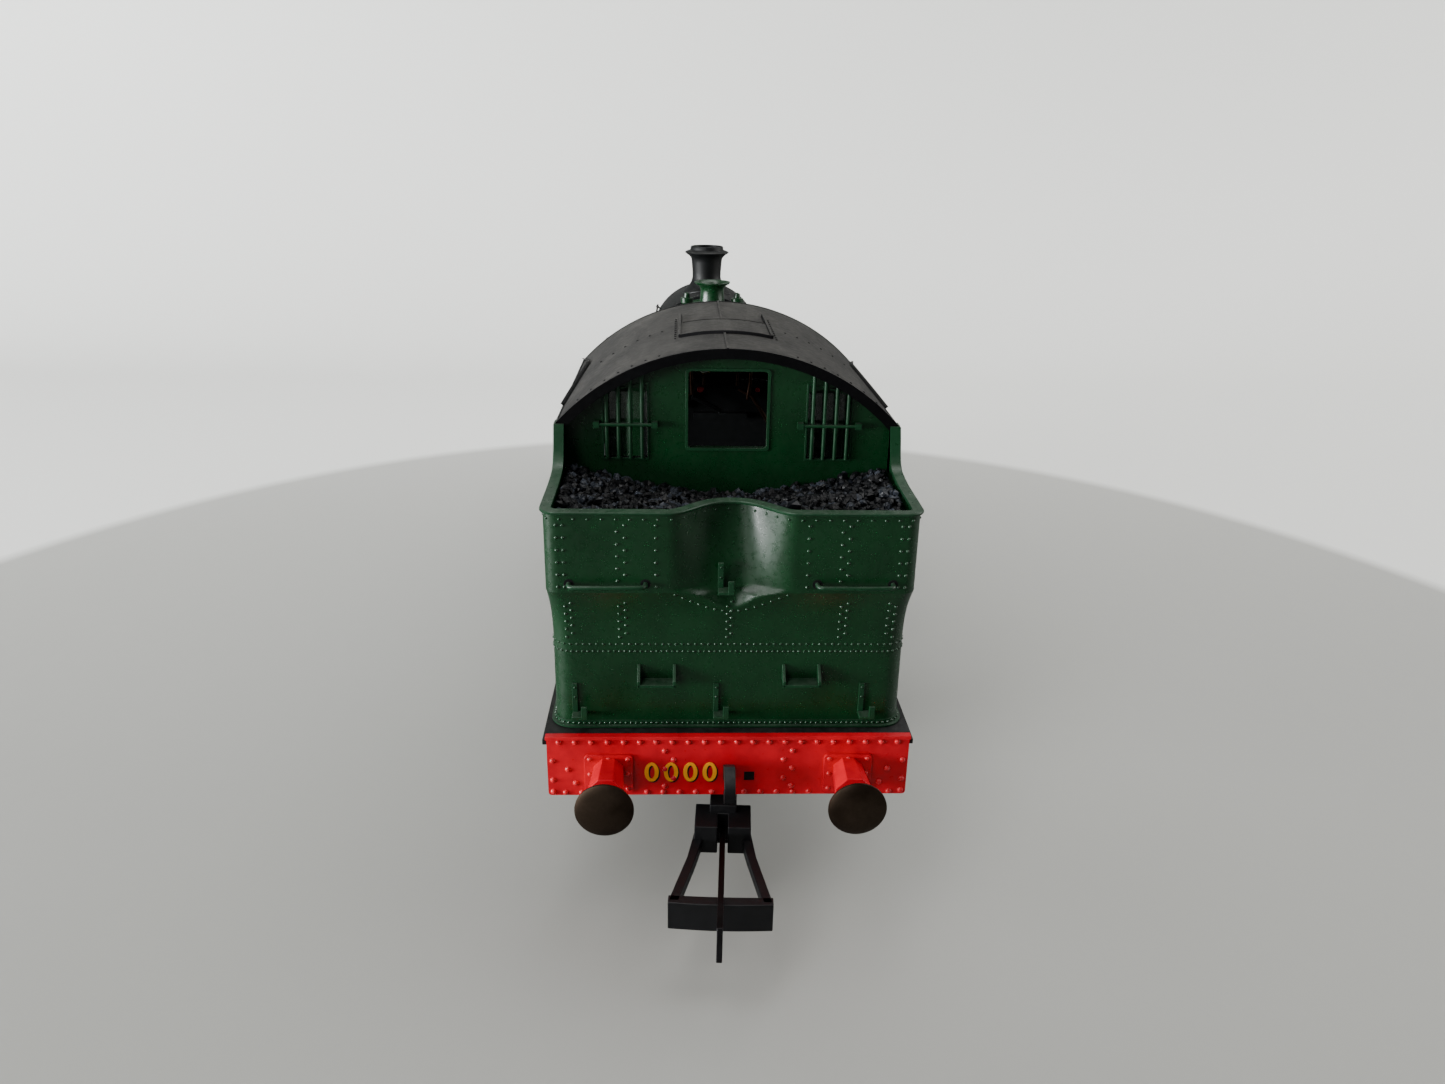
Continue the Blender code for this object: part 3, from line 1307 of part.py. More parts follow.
def build():
    chassis_block()
    keeper_plate()
    running_plate()
    cylinder_block()
    motor_can()
    circuit_board()
    for number in range(1, 5):
        axle(f"axle_{number}", AXLE_X[number - 1], AXLE_Z)
    axle_gear()
    worm_shaft()
    pony_wheelset()
    pony_truck()
    for side in (1, -1):
        for number in range(1, 5):
            driving_wheel(number, side)
        slide_bars(side)
        coupling_rod(side)
        connecting_rod(side)
        crosshead(side)
        side_tank(side)
        window_grille(side)
    for end in (1, -1):
        buffer_beam(end)
        draw_hook(end)
        pivot = coupling_empty(end)
        coupling_loop(end, pivot)
        coupling_hook(end, pivot)
        for side in (1, -1):
            buffer_head(end, side)
            buffer_spring(end, side)
    boiler()
    smokebox()
    smokebox_door()
    chimney()
    safety_valve_bonnet()
    bunker()
    coal_load()
    cab_shell()
    cab_roof()
    backhead()


build()
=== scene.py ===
"""The looks of a 4 mm scale model steam locomotive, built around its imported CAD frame.

Lengths are millimetres and heights are above the top of the rail, until a piece is shown:
its mesh is then in metres and stands a flange's depth above the floor. +X is forward and +Y
is the engine's left.
"""

import math
import random

import bmesh
import bpy
from mathutils import Matrix, Quaternion, Vector, noise
from mathutils.geometry import tessellate_polygon


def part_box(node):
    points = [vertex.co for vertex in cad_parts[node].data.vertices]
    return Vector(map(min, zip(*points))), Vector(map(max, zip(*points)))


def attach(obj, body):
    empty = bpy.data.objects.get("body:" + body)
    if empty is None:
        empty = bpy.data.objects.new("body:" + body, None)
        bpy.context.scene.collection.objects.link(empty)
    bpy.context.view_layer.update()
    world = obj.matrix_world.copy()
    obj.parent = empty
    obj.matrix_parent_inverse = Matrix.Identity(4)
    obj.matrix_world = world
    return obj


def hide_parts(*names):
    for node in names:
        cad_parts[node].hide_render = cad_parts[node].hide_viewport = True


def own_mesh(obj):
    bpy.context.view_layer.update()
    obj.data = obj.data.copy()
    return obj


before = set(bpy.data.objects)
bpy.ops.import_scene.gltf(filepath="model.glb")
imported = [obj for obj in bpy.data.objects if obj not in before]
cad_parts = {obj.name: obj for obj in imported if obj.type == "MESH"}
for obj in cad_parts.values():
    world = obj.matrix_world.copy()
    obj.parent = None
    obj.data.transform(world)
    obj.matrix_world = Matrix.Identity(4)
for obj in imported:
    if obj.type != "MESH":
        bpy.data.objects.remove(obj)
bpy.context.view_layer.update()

MM = 0.001
FLANGE = 0.9
SIDES = {"left": 1, "right": -1}
ENDS = {"front": 1, "rear": -1}


def span(node):
    """A CAD node's lowest and highest corners, in millimetres above the rail."""
    low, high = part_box(node)
    lift = Vector((0, 0, FLANGE))
    return Vector(low) / MM - lift, Vector(high) / MM - lift


def middle(node):
    low, high = span(node)
    return (low + high) / 2


REAR = span("running_plate")[0].x + 0.2
FRONT = span("running_plate")[1].x - 0.2
AXLES = {number: middle(f"axle_{number}") for number in range(1, 5)}
DRIVER = AXLES[3]
CRANK = 5.0
CRANK_ANGLE = {1: -135.0, -1: 135.0}
HALF = span("cab_shell")[1].y  # half the width of the cab, tanks and bunker
RIM = 38.9
CAB_BACK = span("cab_shell")[0].x
CAB_FRONT = span("cab_shell")[1].x
LOW_PLATE = 16.7
HIGH_PLATE = span("running_plate")[1].z
PLATE_HALF = span("running_plate")[1].y
BOILER_Z = middle("smokebox_door").z
CHIMNEY_X = middle("chimney").x
VALVE_X = middle("safety_valve_bonnet").x
CYLINDER_Z = 10.0
CYLINDER_Y = 13.75
ROD_LENGTH = 42.8332


# ---------------------------------------------------------------- shapes


def arc(u, v, radius, start, end, steps):
    """Points of an arc in degrees, both ends included."""
    turns = [math.radians(start + (end - start) * i / steps) for i in range(steps + 1)]
    return [(u + radius * math.cos(a), v + radius * math.sin(a)) for a in turns]


def ring(u, v, radius, steps):
    return arc(u, v, radius, 0, 360 - 360 / steps, steps - 1)


def rounded(u0, v0, u1, v1, radius, steps=4):
    corners = (
        (u1 - radius, v0 + radius, -90),
        (u1 - radius, v1 - radius, 0),
        (u0 + radius, v1 - radius, 90),
        (u0 + radius, v0 + radius, 180),
    )
    return [p for u, v, a in corners for p in arc(u, v, radius, a, a + 90, steps)]


def spread(across, u, v, w):
    """A point from plan coordinates: (Y, Z) across X, (X, Z) across Y, (X, Y) across Z."""
    return {"X": Vector((w, u, v)), "Y": Vector((u, w, v)), "Z": Vector((u, v, w))}[across]


def line(start, end, count):
    start, end = Vector(start), Vector(end)
    return [start.lerp(end, i / (count - 1)) for i in range(count)]


def row(start, end, pitch):
    """Evenly spaced points from one end to the other, about a pitch apart."""
    length = (Vector(end) - Vector(start)).length
    return line(start, end, max(2, round(length / pitch) + 1))


def both(side, low, high):
    """The low and high Y of a near and far distance on one side."""
    return sorted((side * low, side * high))


class Shape:
    """Closed shapes gathered into one mesh."""

    def __init__(self):
        self.bm = bmesh.new()

    def bridge(self, a, b):
        count = max(len(a), len(b))
        for i in range(count):
            j = (i + 1) % count
            if len(a) == 1:
                self.bm.faces.new((a[0], b[j], b[i]))
            elif len(b) == 1:
                self.bm.faces.new((a[i], a[j], b[0]))
            else:
                self.bm.faces.new((a[i], a[j], b[j], b[i]))

    def loft(self, rings, closed=False):
        """Skins rings of points in order and caps the ends, unless they close on themselves."""
        made = [[self.bm.verts.new(p) for p in points] for points in rings]
        for a, b in zip(made, made[1:] + made[:1] if closed else made[1:]):
            self.bridge(a, b)
        if not closed:
            for end in (made[0][::-1], made[-1]):
                if len(end) > 2:
                    self.bm.faces.new(end)
        return self

    def box(self, low, high, turn=None, taper=1.0):
        """A block; turn is a quaternion about its centre and taper narrows its top."""
        low, high = Vector(low), Vector(high)
        centre, half = (low + high) / 2, (high - low) / 2
        turn = turn or Quaternion()
        rings = []
        for z, scale in ((-1, 1.0), (1, taper)):
            corners = ((-1, -1), (1, -1), (1, 1), (-1, 1))
            points = [Vector((x * half.x * scale, y * half.y * scale, z * half.z)) for x, y in corners]
            rings.append([centre + turn @ p for p in points])
        return self.loft(rings)

    def prism(self, outline, across, low, high, holes=()):
        loops = [outline, *holes]
        flat = [[Vector((u, v, 0)) for u, v in loop] for loop in loops]
        sheets = [
            [self.bm.verts.new(spread(across, u, v, w)) for loop in loops for u, v in loop]
            for w in (low, high)
        ]
        for triangle in tessellate_polygon(flat):
            for sheet in sheets:
                self.bm.faces.new([sheet[i] for i in triangle])
        start = 0
        for loop in loops:
            for i in range(len(loop)):
                a, b = start + i, start + (i + 1) % len(loop)
                self.bm.faces.new((sheets[0][a], sheets[0][b], sheets[1][b], sheets[1][a]))
            start += len(loop)
        return self

    def lathe(self, profile, axis, at, steps=32, closed=False):
        """Turns a profile of (radius, height) about an axis through a point."""
        turn = Vector(axis).to_track_quat("Z", "Y")
        rings = []
        for radius, height in profile:
            points = ring(0, 0, radius, steps) if radius > 0 else [(0, 0)]
            rings.append([Vector(at) + turn @ Vector((u, v, height)) for u, v in points])
        return self.loft(rings, closed)

    def rod(self, start, end, radius, sides=16):
        start, end = Vector(start), Vector(end)
        profile = [(radius, 0), (radius, (end - start).length)]
        return self.lathe(profile, end - start, start, sides)

    def tube(self, path, radius, sides=10):
        """A round bar along a path of points."""
        path = [Vector(p) for p in path]
        rings = []
        upright = None
        for i, point in enumerate(path):
            ahead = path[min(i + 1, len(path) - 1)] - path[max(i - 1, 0)]
            ahead.normalize()
            if upright is None:
                upright = Vector((0, 0, 1)) if abs(ahead.z) < 0.9 else Vector((1, 0, 0))
            upright = (upright - ahead * upright.dot(ahead)).normalized()
            side = ahead.cross(upright)
            rings.append([point + side * u + upright * v for u, v in ring(0, 0, radius, sides)])
        return self.loft(rings)

    def ball(self, at, radius, steps=12):
        profile = [(radius * math.cos(a), radius * math.sin(a)) for a in
                   [math.radians(-60 + 30 * i) for i in range(5)]]
        return self.lathe([(0, -radius), *profile, (0, radius)], (0, 0, 1), at, steps)

    def rivets(self, points, normal, radius=0.17, height=0.15, sides=8):
        """Domed heads whose rims sit a little inside the surface."""
        profile = [(0, height), (radius * 0.62, height * 0.8), (radius, 0), (radius, -0.05), (0, -0.05)]
        for i, point in enumerate(points):
            facing = normal[i] if isinstance(normal, list) else normal
            self.lathe(profile, facing, point, sides)
        return self

    def strip(self, path, outward, section):
        """A bar of (out, up) section points along a path, given each point's outward direction."""
        rings = []
        path = [Vector(p) for p in path]
        for i, point in enumerate(path):
            ahead = (path[min(i + 1, len(path) - 1)] - path[max(i - 1, 0)]).normalized()
            out = Vector(outward[i]).normalized()
            up = out.cross(ahead).normalized()
            if up.z < 0:
                up = -up
            rings.append([point + out * a + up * b for a, b in section])
        return self.loft(rings)


def show(name, shape, body, look, bevel=0.0, replaces=(), smooth=32):
    """Puts a shape on a CAD body with a material, its soft edges and the CAD nodes it stands for."""
    bm = shape.bm
    bmesh.ops.recalc_face_normals(bm, faces=bm.faces)
    bmesh.ops.scale(bm, vec=(MM, MM, MM), verts=bm.verts)
    mesh = bpy.data.meshes.new(name)
    bm.to_mesh(mesh)
    bm.free()
    mesh.materials.append(look)
    mesh.shade_smooth()
    mesh.set_sharp_from_angle(angle=math.radians(smooth))
    piece = bpy.data.objects.new(name, mesh)
    piece.location.z = FLANGE * MM
    bpy.context.scene.collection.objects.link(piece)
    if bevel:
        edges = piece.modifiers.new("soft_edges", "BEVEL")
        edges.width = bevel * MM
        edges.segments = 2
        edges.limit_method = "ANGLE"
        edges.angle_limit = math.radians(40)
        edges.harden_normals = True
    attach(piece, body)
    if replaces:
        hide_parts(*replaces)
    return piece


# ---------------------------------------------------------------- materials


class Look:
    """A node material that grows from its Principled shader."""

    def __init__(self, name, slot):
        self.material = bpy.data.materials.new(name)
        self.material.use_nodes = True
        self.material["slot"] = slot
        self.tree = self.material.node_tree
        self.shader = self.tree.nodes["Principled BSDF"]
        self.place = self.node("ShaderNodeTexCoord").outputs["Object"]

    def node(self, kind, **values):
        made = self.tree.nodes.new(kind)
        for key, value in values.items():
            setattr(made, key, value)
        return made

    def link(self, out, into):
        self.tree.links.new(out, into)

    def noise(self, scale, detail=4.0, stretch=(1, 1, 1), rough=0.55):
        mapping = self.node("ShaderNodeMapping")
        mapping.inputs["Scale"].default_value = stretch
        self.link(self.place, mapping.inputs["Vector"])
        made = self.node("ShaderNodeTexNoise")
        made.inputs["Scale"].default_value = scale
        made.inputs["Detail"].default_value = detail
        made.inputs["Roughness"].default_value = rough
        self.link(mapping.outputs["Vector"], made.inputs["Vector"])
        return made.outputs["Fac"]

    def cells(self, scale):
        made = self.node("ShaderNodeTexVoronoi")
        made.inputs["Scale"].default_value = scale
        self.link(self.place, made.inputs["Vector"])
        return made.outputs["Color"]

    def ramp(self, factor, *stops):
        """Maps a factor to colours; each stop is (position, colour)."""
        made = self.node("ShaderNodeValToRGB")
        elements = made.color_ramp.elements
        while len(elements) < len(stops):
            elements.new(0.5)
        for element, (position, colour) in zip(elements, stops):
            element.position = position
            element.color = (*colour, 1.0)
        self.link(factor, made.inputs["Fac"])
        return made.outputs["Color"]

    def range(self, factor, low, high, start=0.3, end=0.7):
        made = self.node("ShaderNodeMapRange")
        for key, value in (("From Min", start), ("From Max", end), ("To Min", low), ("To Max", high)):
            made.inputs[key].default_value = value
        self.link(factor, made.inputs["Value"])
        return made.outputs["Result"]

    def mix(self, factor, first, second):
        made = self.node("ShaderNodeMix", data_type="RGBA")
        for key, value in ((0, factor), (6, first), (7, second)):
            if isinstance(value, (int, float)):
                made.inputs[key].default_value = value
            elif isinstance(value, tuple):
                made.inputs[key].default_value = (*value, 1.0)
            else:
                self.link(value, made.inputs[key])
        return made.outputs[2]

    def product(self, *factors):
        result = factors[0]
        for factor in factors[1:]:
            made = self.node("ShaderNodeMath", operation="MULTIPLY")
            self.link(result, made.inputs[0])
            if isinstance(factor, (int, float)):
                made.inputs[1].default_value = factor
            else:
                self.link(factor, made.inputs[1])
            result = made.outputs[0]
        return result

    def upward(self):
        """1 on faces that look up, 0 on walls."""
        geometry = self.node("ShaderNodeNewGeometry")
        parts = self.node("ShaderNodeSeparateXYZ")
        self.link(geometry.outputs["Normal"], parts.inputs[0])
        return self.range(parts.outputs["Z"], 0.0, 1.0, 0.35, 0.95)

    def bump(self, factor, strength, depth):
        made = self.node("ShaderNodeBump")
        made.inputs["Strength"].default_value = strength
        made.inputs["Distance"].default_value = depth * MM
        self.link(factor, made.inputs["Height"])
        if self.shader.inputs["Normal"].is_linked:
            self.link(self.shader.inputs["Normal"].links[0].from_socket, made.inputs["Normal"])
        self.link(made.outputs["Normal"], self.shader.inputs["Normal"])

    def finish(self, colour, rough, metallic=0.0):
        self.link(colour, self.shader.inputs["Base Color"])
        self.link(rough, self.shader.inputs["Roughness"])
        self.shader.inputs["Metallic"].default_value = metallic
        return self.material


def shade(colour, factor):
    return tuple(min(1.0, c * factor) for c in colour)


def paint(name, slot, colour, rough, dust=0.1, grain=0.3, shine=0.3):
    """Sprayed paint: uneven tone, orange-peel grain, stray specks and a film of dust on top."""
    look = Look(name, slot)
    look.shader.inputs["Specular IOR Level"].default_value = shine
    tone = look.ramp(look.noise(260, 5), (0.3, shade(colour, 0.8)), (0.7, shade(colour, 1.2)))
    dusty = look.product(look.upward(), look.range(look.noise(1400, 6), 0.2, 1.0), dust)
    tone = look.mix(dusty, tone, (0.36, 0.36, 0.33))
    specks = look.range(look.noise(5200, 2), 0.0, 0.3, 0.76, 0.84)
    tone = look.mix(specks, tone, (0.30, 0.33, 0.28))
    look.bump(look.noise(9000, 3), grain, 0.012)
    look.bump(look.noise(900, 2), grain * 0.5, 0.03)
    return look.finish(tone, look.range(look.noise(1900, 5), rough - 0.07, rough + 0.09))


def metal(name, slot, colour, rough, stain, stretch=(1, 14, 1), stained=0.3):
    """Turned or rolled metal with fine tool lines and patches of stain."""
    look = Look(name, slot)
    fine = look.noise(4200, 3, stretch)
    tone = look.ramp(fine, (0.3, shade(colour, 0.92)), (0.7, shade(colour, 1.07)))
    patches = look.product(look.range(look.noise(300, 4), 0.0, 1.0, 0.40, 0.70), stained)
    tone = look.mix(patches, tone, stain)
    look.bump(fine, 0.12, 0.008)
    roughness = look.range(look.noise(500, 4), rough - 0.05, rough + 0.08)
    return look.finish(tone, roughness, 1.0)


def moulded(name, slot, colour, rough):
    """Self-coloured plastic with a fine spark-eroded grain."""
    look = Look(name, slot)
    look.shader.inputs["Specular IOR Level"].default_value = 0.3
    tone = look.ramp(look.noise(900, 4), (0.35, shade(colour, 0.8)), (0.7, shade(colour, 1.3)))
    look.bump(look.noise(7000, 2), 0.3, 0.012)
    return look.finish(tone, look.range(look.noise(2200, 3), rough - 0.06, rough + 0.1))


def coal_look():
    look = Look("broken_coal", "coal")
    lumps = look.cells(900)
    look.shader.inputs["Specular IOR Level"].default_value = 0.2
    # The pale cells are painted highlights standing for glints on the lumps' facets; dark and mid are the coal's own
    # tone.
    dark, mid, pale = (0.0012, 0.0012, 0.0018), (0.0025, 0.0028, 0.004), (0.024, 0.028, 0.037)
    tone = look.ramp(lumps, (0.3, dark), (0.66, mid), (0.8, pale))
    look.bump(look.noise(5000, 5), 0.6, 0.03)
    return look.finish(tone, look.ramp(look.cells(1300), (0.0, (0.24,) * 3), (1.0, (0.7,) * 3)))


def roof_look():
    """Matt weathered roof paint: brown-grey bloom over near black."""
    look = Look("weathered_roof", "roof_paint")
    look.shader.inputs["Specular IOR Level"].default_value = 0.1
    bloom = look.noise(150, 7, (1, 2.2, 1), 0.65)
    dark, mid, pale = (0.024, 0.0237, 0.0228), (0.038, 0.037, 0.0346), (0.056, 0.054, 0.050)
    tone = look.ramp(bloom, (0.30, dark), (0.52, mid), (0.75, pale))
    tone = look.mix(look.range(look.noise(6000, 2), 0.0, 0.5, 0.66, 0.8), tone, (0.085, 0.082, 0.075))
    tone = look.mix(look.upward(), (0.008, 0.008, 0.009), tone)
    look.bump(look.noise(8000, 3), 0.4, 0.015)
    return look.finish(tone, look.range(look.noise(1500, 4), 0.55, 0.78))


def beam_red():
    look = Look("beam_red", "red_paint")
    look.shader.inputs["Specular IOR Level"].default_value = 0.25
    red = (0.46, 0.0, 0.009)
    tone = look.ramp(look.noise(300, 5), (0.3, shade(red, 0.8)), (0.72, shade(red, 1.15)))
    grime = look.product(look.range(look.noise(700, 6), 0.0, 1.0, 0.5, 0.75), 0.28)
    tone = look.mix(grime, tone, (0.13, 0.004, 0.006))
    look.bump(look.noise(7000, 3), 0.3, 0.012)
    look.bump(look.noise(700, 2), 0.2, 0.04)
    return look.finish(tone, look.range(look.noise(2000, 4), 0.26, 0.44))


def glazing():
    look = Look("window_glazing", "glazing")
    shader = look.shader
    shader.inputs["Transmission Weight"].default_value = 1.0
    shader.inputs["IOR"].default_value = 1.45
    tone = look.ramp(look.noise(400, 3), (0.3, (0.80, 0.86, 0.83)), (0.7, (0.92, 0.95, 0.93)))
    look.bump(look.noise(900, 2), 0.15, 0.02)
    return look.finish(tone, look.range(look.noise(1800, 4), 0.02, 0.12))


GREEN = paint("locomotive_green", "green_paint", (0.0016, 0.0235, 0.0062), 0.30, 0.03, shine=0.40)
# Painted highlight: raised details take a lighter copy of the locomotive green, standing for the sheen they catch.
HIGHLIT_DETAIL_GREEN = paint("detail_green_painted_highlight", "green_paint", (0.0045, 0.029, 0.0110), 0.32, 0.08, shine=0.25)
# Painted glint: rivet heads take a lighter, glossier copy of the locomotive green, standing for the glints on their
# tops.
GLINT_RIVET_GREEN = paint("rivet_green_painted_glint", "green_paint", (0.0040, 0.034, 0.0115), 0.22, 0.05, shine=0.55)
WHEEL_GREEN = paint("wheel_green", "wheel_paint", (0.004, 0.030, 0.011), 0.42, 0.05)
BLACK = paint("frame_black", "black_paint", (0.0035, 0.0035, 0.004), 0.46, 0.05, shine=0.22)
SMOKEBOX_BLACK = paint("smokebox_black", "black_paint", (0.0022, 0.0028, 0.003), 0.48, 0.03, shine=0.22)
ROOF = roof_look()
ROOF_EDGE = paint("roof_edge", "roof_paint", (0.0016, 0.0016, 0.002), 0.38, 0.0, shine=0.12)
RED = beam_red()
# Painted glint: beam rivets take a lighter copy of the beam red, standing for the highlights on their heads.
GLINT_RIVET_RED = paint("rivet_red_painted_glint", "red_paint", (0.50, 0.010, 0.018), 0.26, 0.0, shine=0.35)
COAL = coal_look()
STEEL = metal("bright_steel", "steel", (0.30, 0.30, 0.305), 0.33, (0.13, 0.115, 0.10))
TYRE = metal("tyre_steel", "wheel_paint", (0.27, 0.265, 0.26), 0.34, (0.10, 0.09, 0.08))
HEAD = metal("burnished_head", "blackened_steel", (0.06, 0.042, 0.030), 0.42, (0.024, 0.016, 0.011), (1, 1, 1), 0.8)
BRASS = metal("brass", "brass", (0.66, 0.46, 0.17), 0.26, (0.26, 0.15, 0.05))
COPPER = metal("copper_pipe", "brass", (0.045, 0.024, 0.016), 0.42, (0.02, 0.012, 0.01))
CAST = metal("cast_chassis", "cast_metal", (0.20, 0.20, 0.205), 0.50, (0.08, 0.08, 0.085), (1, 1, 1))
PLASTIC = moulded("coupling_plastic", "black_plastic", (0.0035, 0.0035, 0.004), 0.40)
BOARD = moulded("board_lacquer", "circuit_board", (0.02, 0.16, 0.05), 0.35)
YELLOW = paint("number_yellow", "red_paint", (0.80, 0.31, 0.008), 0.45, 0.0, shine=0.2)
HANDLE_RED = paint("handle_red", "red_paint", (0.10, 0.004, 0.006), 0.4, 0.0)
DIAL_WHITE = paint("dial_white", "black_paint", (0.30, 0.30, 0.27), 0.45, 0.0)
GLASS = glazing()
DARK_HOOK = metal("blackened_hook", "blackened_steel", (0.020, 0.019, 0.020), 0.38, (0.010, 0.009, 0.009), (1, 1, 1), 0.6)

CAD_LOOKS = {
    CAST: ["chassis_block"],
    PLASTIC: ["keeper_plate"],
    GREEN: ["cab_shell"],
    SMOKEBOX_BLACK: ["backhead"],
    STEEL: [f"axle_{n}" for n in AXLES] + ["motor_can"],
    BRASS: ["axle_gear", "worm_shaft"],
    BOARD: ["circuit_board"],
}
for cad_look, cad_names in CAD_LOOKS.items():
    for cad_name in cad_names:
        cad_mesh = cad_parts[cad_name].data
        cad_mesh.materials.clear()
        cad_mesh.materials.append(cad_look)


# ---------------------------------------------------------------- bunker

LOWER_FACE = REAR + 3.0
UPPER_FACE = REAR + 1.7
COVE = (25.2, 31.35)
SCOOP_FOOT = 29.5
SCOOP_SHELF = 31.4  # the scoop opens out to its full width here
SCOOP_HALF = 5.8
SCOOP_REACH = 6.6


def flare(z):
    t = min(1.0, max(0.0, (z - COVE[0]) / (COVE[1] - COVE[0])))
    return t**2.4


def scoop_x(y, z):
    """The lamp recess: a bell in plan that leans forward as it rises from a rounded foot."""
    rise = (z - SCOOP_FOOT) / (RIM - SCOOP_FOOT)
    deepest = REAR + 2.4 + (2.6 * rise**0.85 if rise > 0 else 12 * rise)
    foot = 2.1 + 0.85 * (z - SCOOP_FOOT)
    opened = min(1.0, max(0.0, (z - SCOOP_SHELF) / 0.6 + 0.6))
    half = max(0.5, foot + (SCOOP_HALF - foot) * opened)
    away = min(1.0, abs(y) / half) ** 1.25
    return UPPER_FACE + (deepest - UPPER_FACE) * (1 + math.cos(math.pi * away)) / 2


def bunker_face(y, z):
    """The X of the outer skin on the rear face."""
    plain = LOWER_FACE + (UPPER_FACE - LOWER_FACE) * flare(z)
    return max(plain, scoop_x(y, z))


def bunker_half(x, z):
    """The half width: the lower sides draw in a little towards the rear corners."""
    away = min(1.0, max(0.0, (REAR + 17 - x) / 9.0))
    return HALF - 0.28 * (1 - flare(z)) * away * away * (3 - 2 * away)


def side_top(x):
    """The top edge of a side sheet, rising in a curve to the eave."""
    knots = [(0, RIM), (9.5, 39.0), (11.6, 39.15), (13.3, 39.4), (14.2, 39.95), (14.8, 41.1)]
    knots += [(15.25, 42.4), (15.6, 43.35), (40, 43.35)]
    along = x - REAR
    for (x0, z0), (x1, z1) in zip(knots, knots[1:]):
        if along <= x1:
            return z0 + (z1 - z0) * (along - x0) / (x1 - x0)
    return knots[-1][1]


SIDE_X = [REAR + x for x in (16.94, 16.2, 15.6, 15.25, 14.8, 14.2, 13.3, 12.4, 11.6, 10.5, 9.5, 8.2, 7.0, 5.8)]
LEVELS = [16.78, 18, 20, 22, 24, 25.2, 26.2, 27.2, 28, 28.7, *(29.1 + 0.125 * i for i in range(20))]
LEVELS += [31.6, 31.75, 31.95, 32.2, 32.6, 33.2, 34.2, 35.4, 36.6, 37.6, 38.3]


def bunker_path(z):
    """Plan points of the skin at a height, from the left side round the rear to the right."""
    rear = [(x, bunker_half(x, z)) for x in SIDE_X]
    face = bunker_face(15, z)
    radius = 1.9 - 0.6 * flare(z)
    half = bunker_half(face + radius, z)
    rear += arc(face + radius, half - radius, radius, 90, 180, 8)
    inner = half - radius
    outside = [inner + (SCOOP_REACH - inner) * i / 8 for i in range(1, 9)]
    inside = [SCOOP_REACH * (1 - i / 24) for i in range(1, 25)]
    rear += [(bunker_face(y, z), y) for y in outside + inside]
    return rear + [(x, -y) for x, y in rear[-2::-1]]


def outward_normals(path):
    """The level normal at each point of a plan path, pointing away from the bunker's middle."""
    centre = Vector((REAR + 12.0, 0, 0))
    normals = []
    for i, (x, y) in enumerate(path):
        a, b = path[max(i - 1, 0)], path[min(i + 1, len(path) - 1)]
        normal = Vector((a[1] - b[1], b[0] - a[0], 0)).normalized()
        away = Vector((x, y, 0)) - centre
        normals.append(normal if normal.dot(away) > 0 else -normal)
    return normals


def bunker_rows():
    """Outer and inner grids of points, one row per height; the last follows the top edge."""
    skin = 0.55
    outer, inner = [], []
    for z in LEVELS + [RIM]:
        path = bunker_path(z)
        tops = [side_top(x) if z == RIM else z for x, _ in path]
        outer.append([Vector((x, y, top)) for (x, y), top in zip(path, tops)])
        inner.append([p - n * skin for p, n in zip(outer[-1], outward_normals(path))])
    return outer, inner


def bunker_sheet():
    outer, inner = bunker_rows()
    shape = Shape()
    skins = [[[shape.bm.verts.new(p) for p in points] for points in skin] for skin in (outer, inner)]
    rows, columns = len(outer), len(outer[0])
    for skin in skins:
        for a, b in zip(skin, skin[1:]):
            for i in range(columns - 1):
                shape.bm.faces.new((a[i], a[i + 1], b[i + 1], b[i]))
    front, back = skins
    for j in (0, rows - 1):
        for i in range(columns - 1):
            shape.bm.faces.new((front[j][i], front[j][i + 1], back[j][i + 1], back[j][i]))
    for i in (0, columns - 1):
        for j in range(rows - 1):
            shape.bm.faces.new((front[j][i], front[j + 1][i], back[j + 1][i], back[j][i]))
    show("bunker_sheet", shape, "engine", GREEN, smooth=26, replaces=("bunker",))


def rim_beading():
    """The flat lip round the top of the bunker and up the cab's rear corners."""
    path = bunker_path(RIM)
    outward = outward_normals(path)
    points = [Vector((x, y, side_top(x))) for x, y in path]
    section = [(-0.75, -0.02), (0.22, -0.02), (0.30, 0.08), (0.30, 0.20), (0.22, 0.28), (-0.75, 0.28)]
    show("bunker_rim", Shape().strip(points, outward, section), "engine", HIGHLIT_DETAIL_GREEN, smooth=40)


def face_rivets(columns, low, high, pitch, shift=0.0):
    """Points and normals of upright rivet rows on the rear face."""
    points, normals = [], []
    for y in columns:
        for p in row((0, y, low + shift), (0, y, high + shift), pitch):
            points.append(Vector((bunker_face(y, p.z), y, p.z)))
            slope = (bunker_face(y, p.z + 0.1) - bunker_face(y, p.z - 0.1)) / 0.2
            normals.append(Vector((-1, 0, slope)))
    return points, normals


def band_rivets(z, pitch, start_x):
    """Rivets in a level row round both sides and the rear."""
    path = bunker_path(z)
    outward = outward_normals(path)
    points, normals = [], []
    travel = 0.0
    for i in range(1, len(path)):
        a, b = Vector((*path[i - 1], z)), Vector((*path[i], z))
        length = (b - a).length
        while travel < length:
            here = a.lerp(b, travel / length)
            if here.x < start_x:
                points.append(here)
                normals.append(outward[i])
            travel += pitch
        travel -= length
    return points, normals


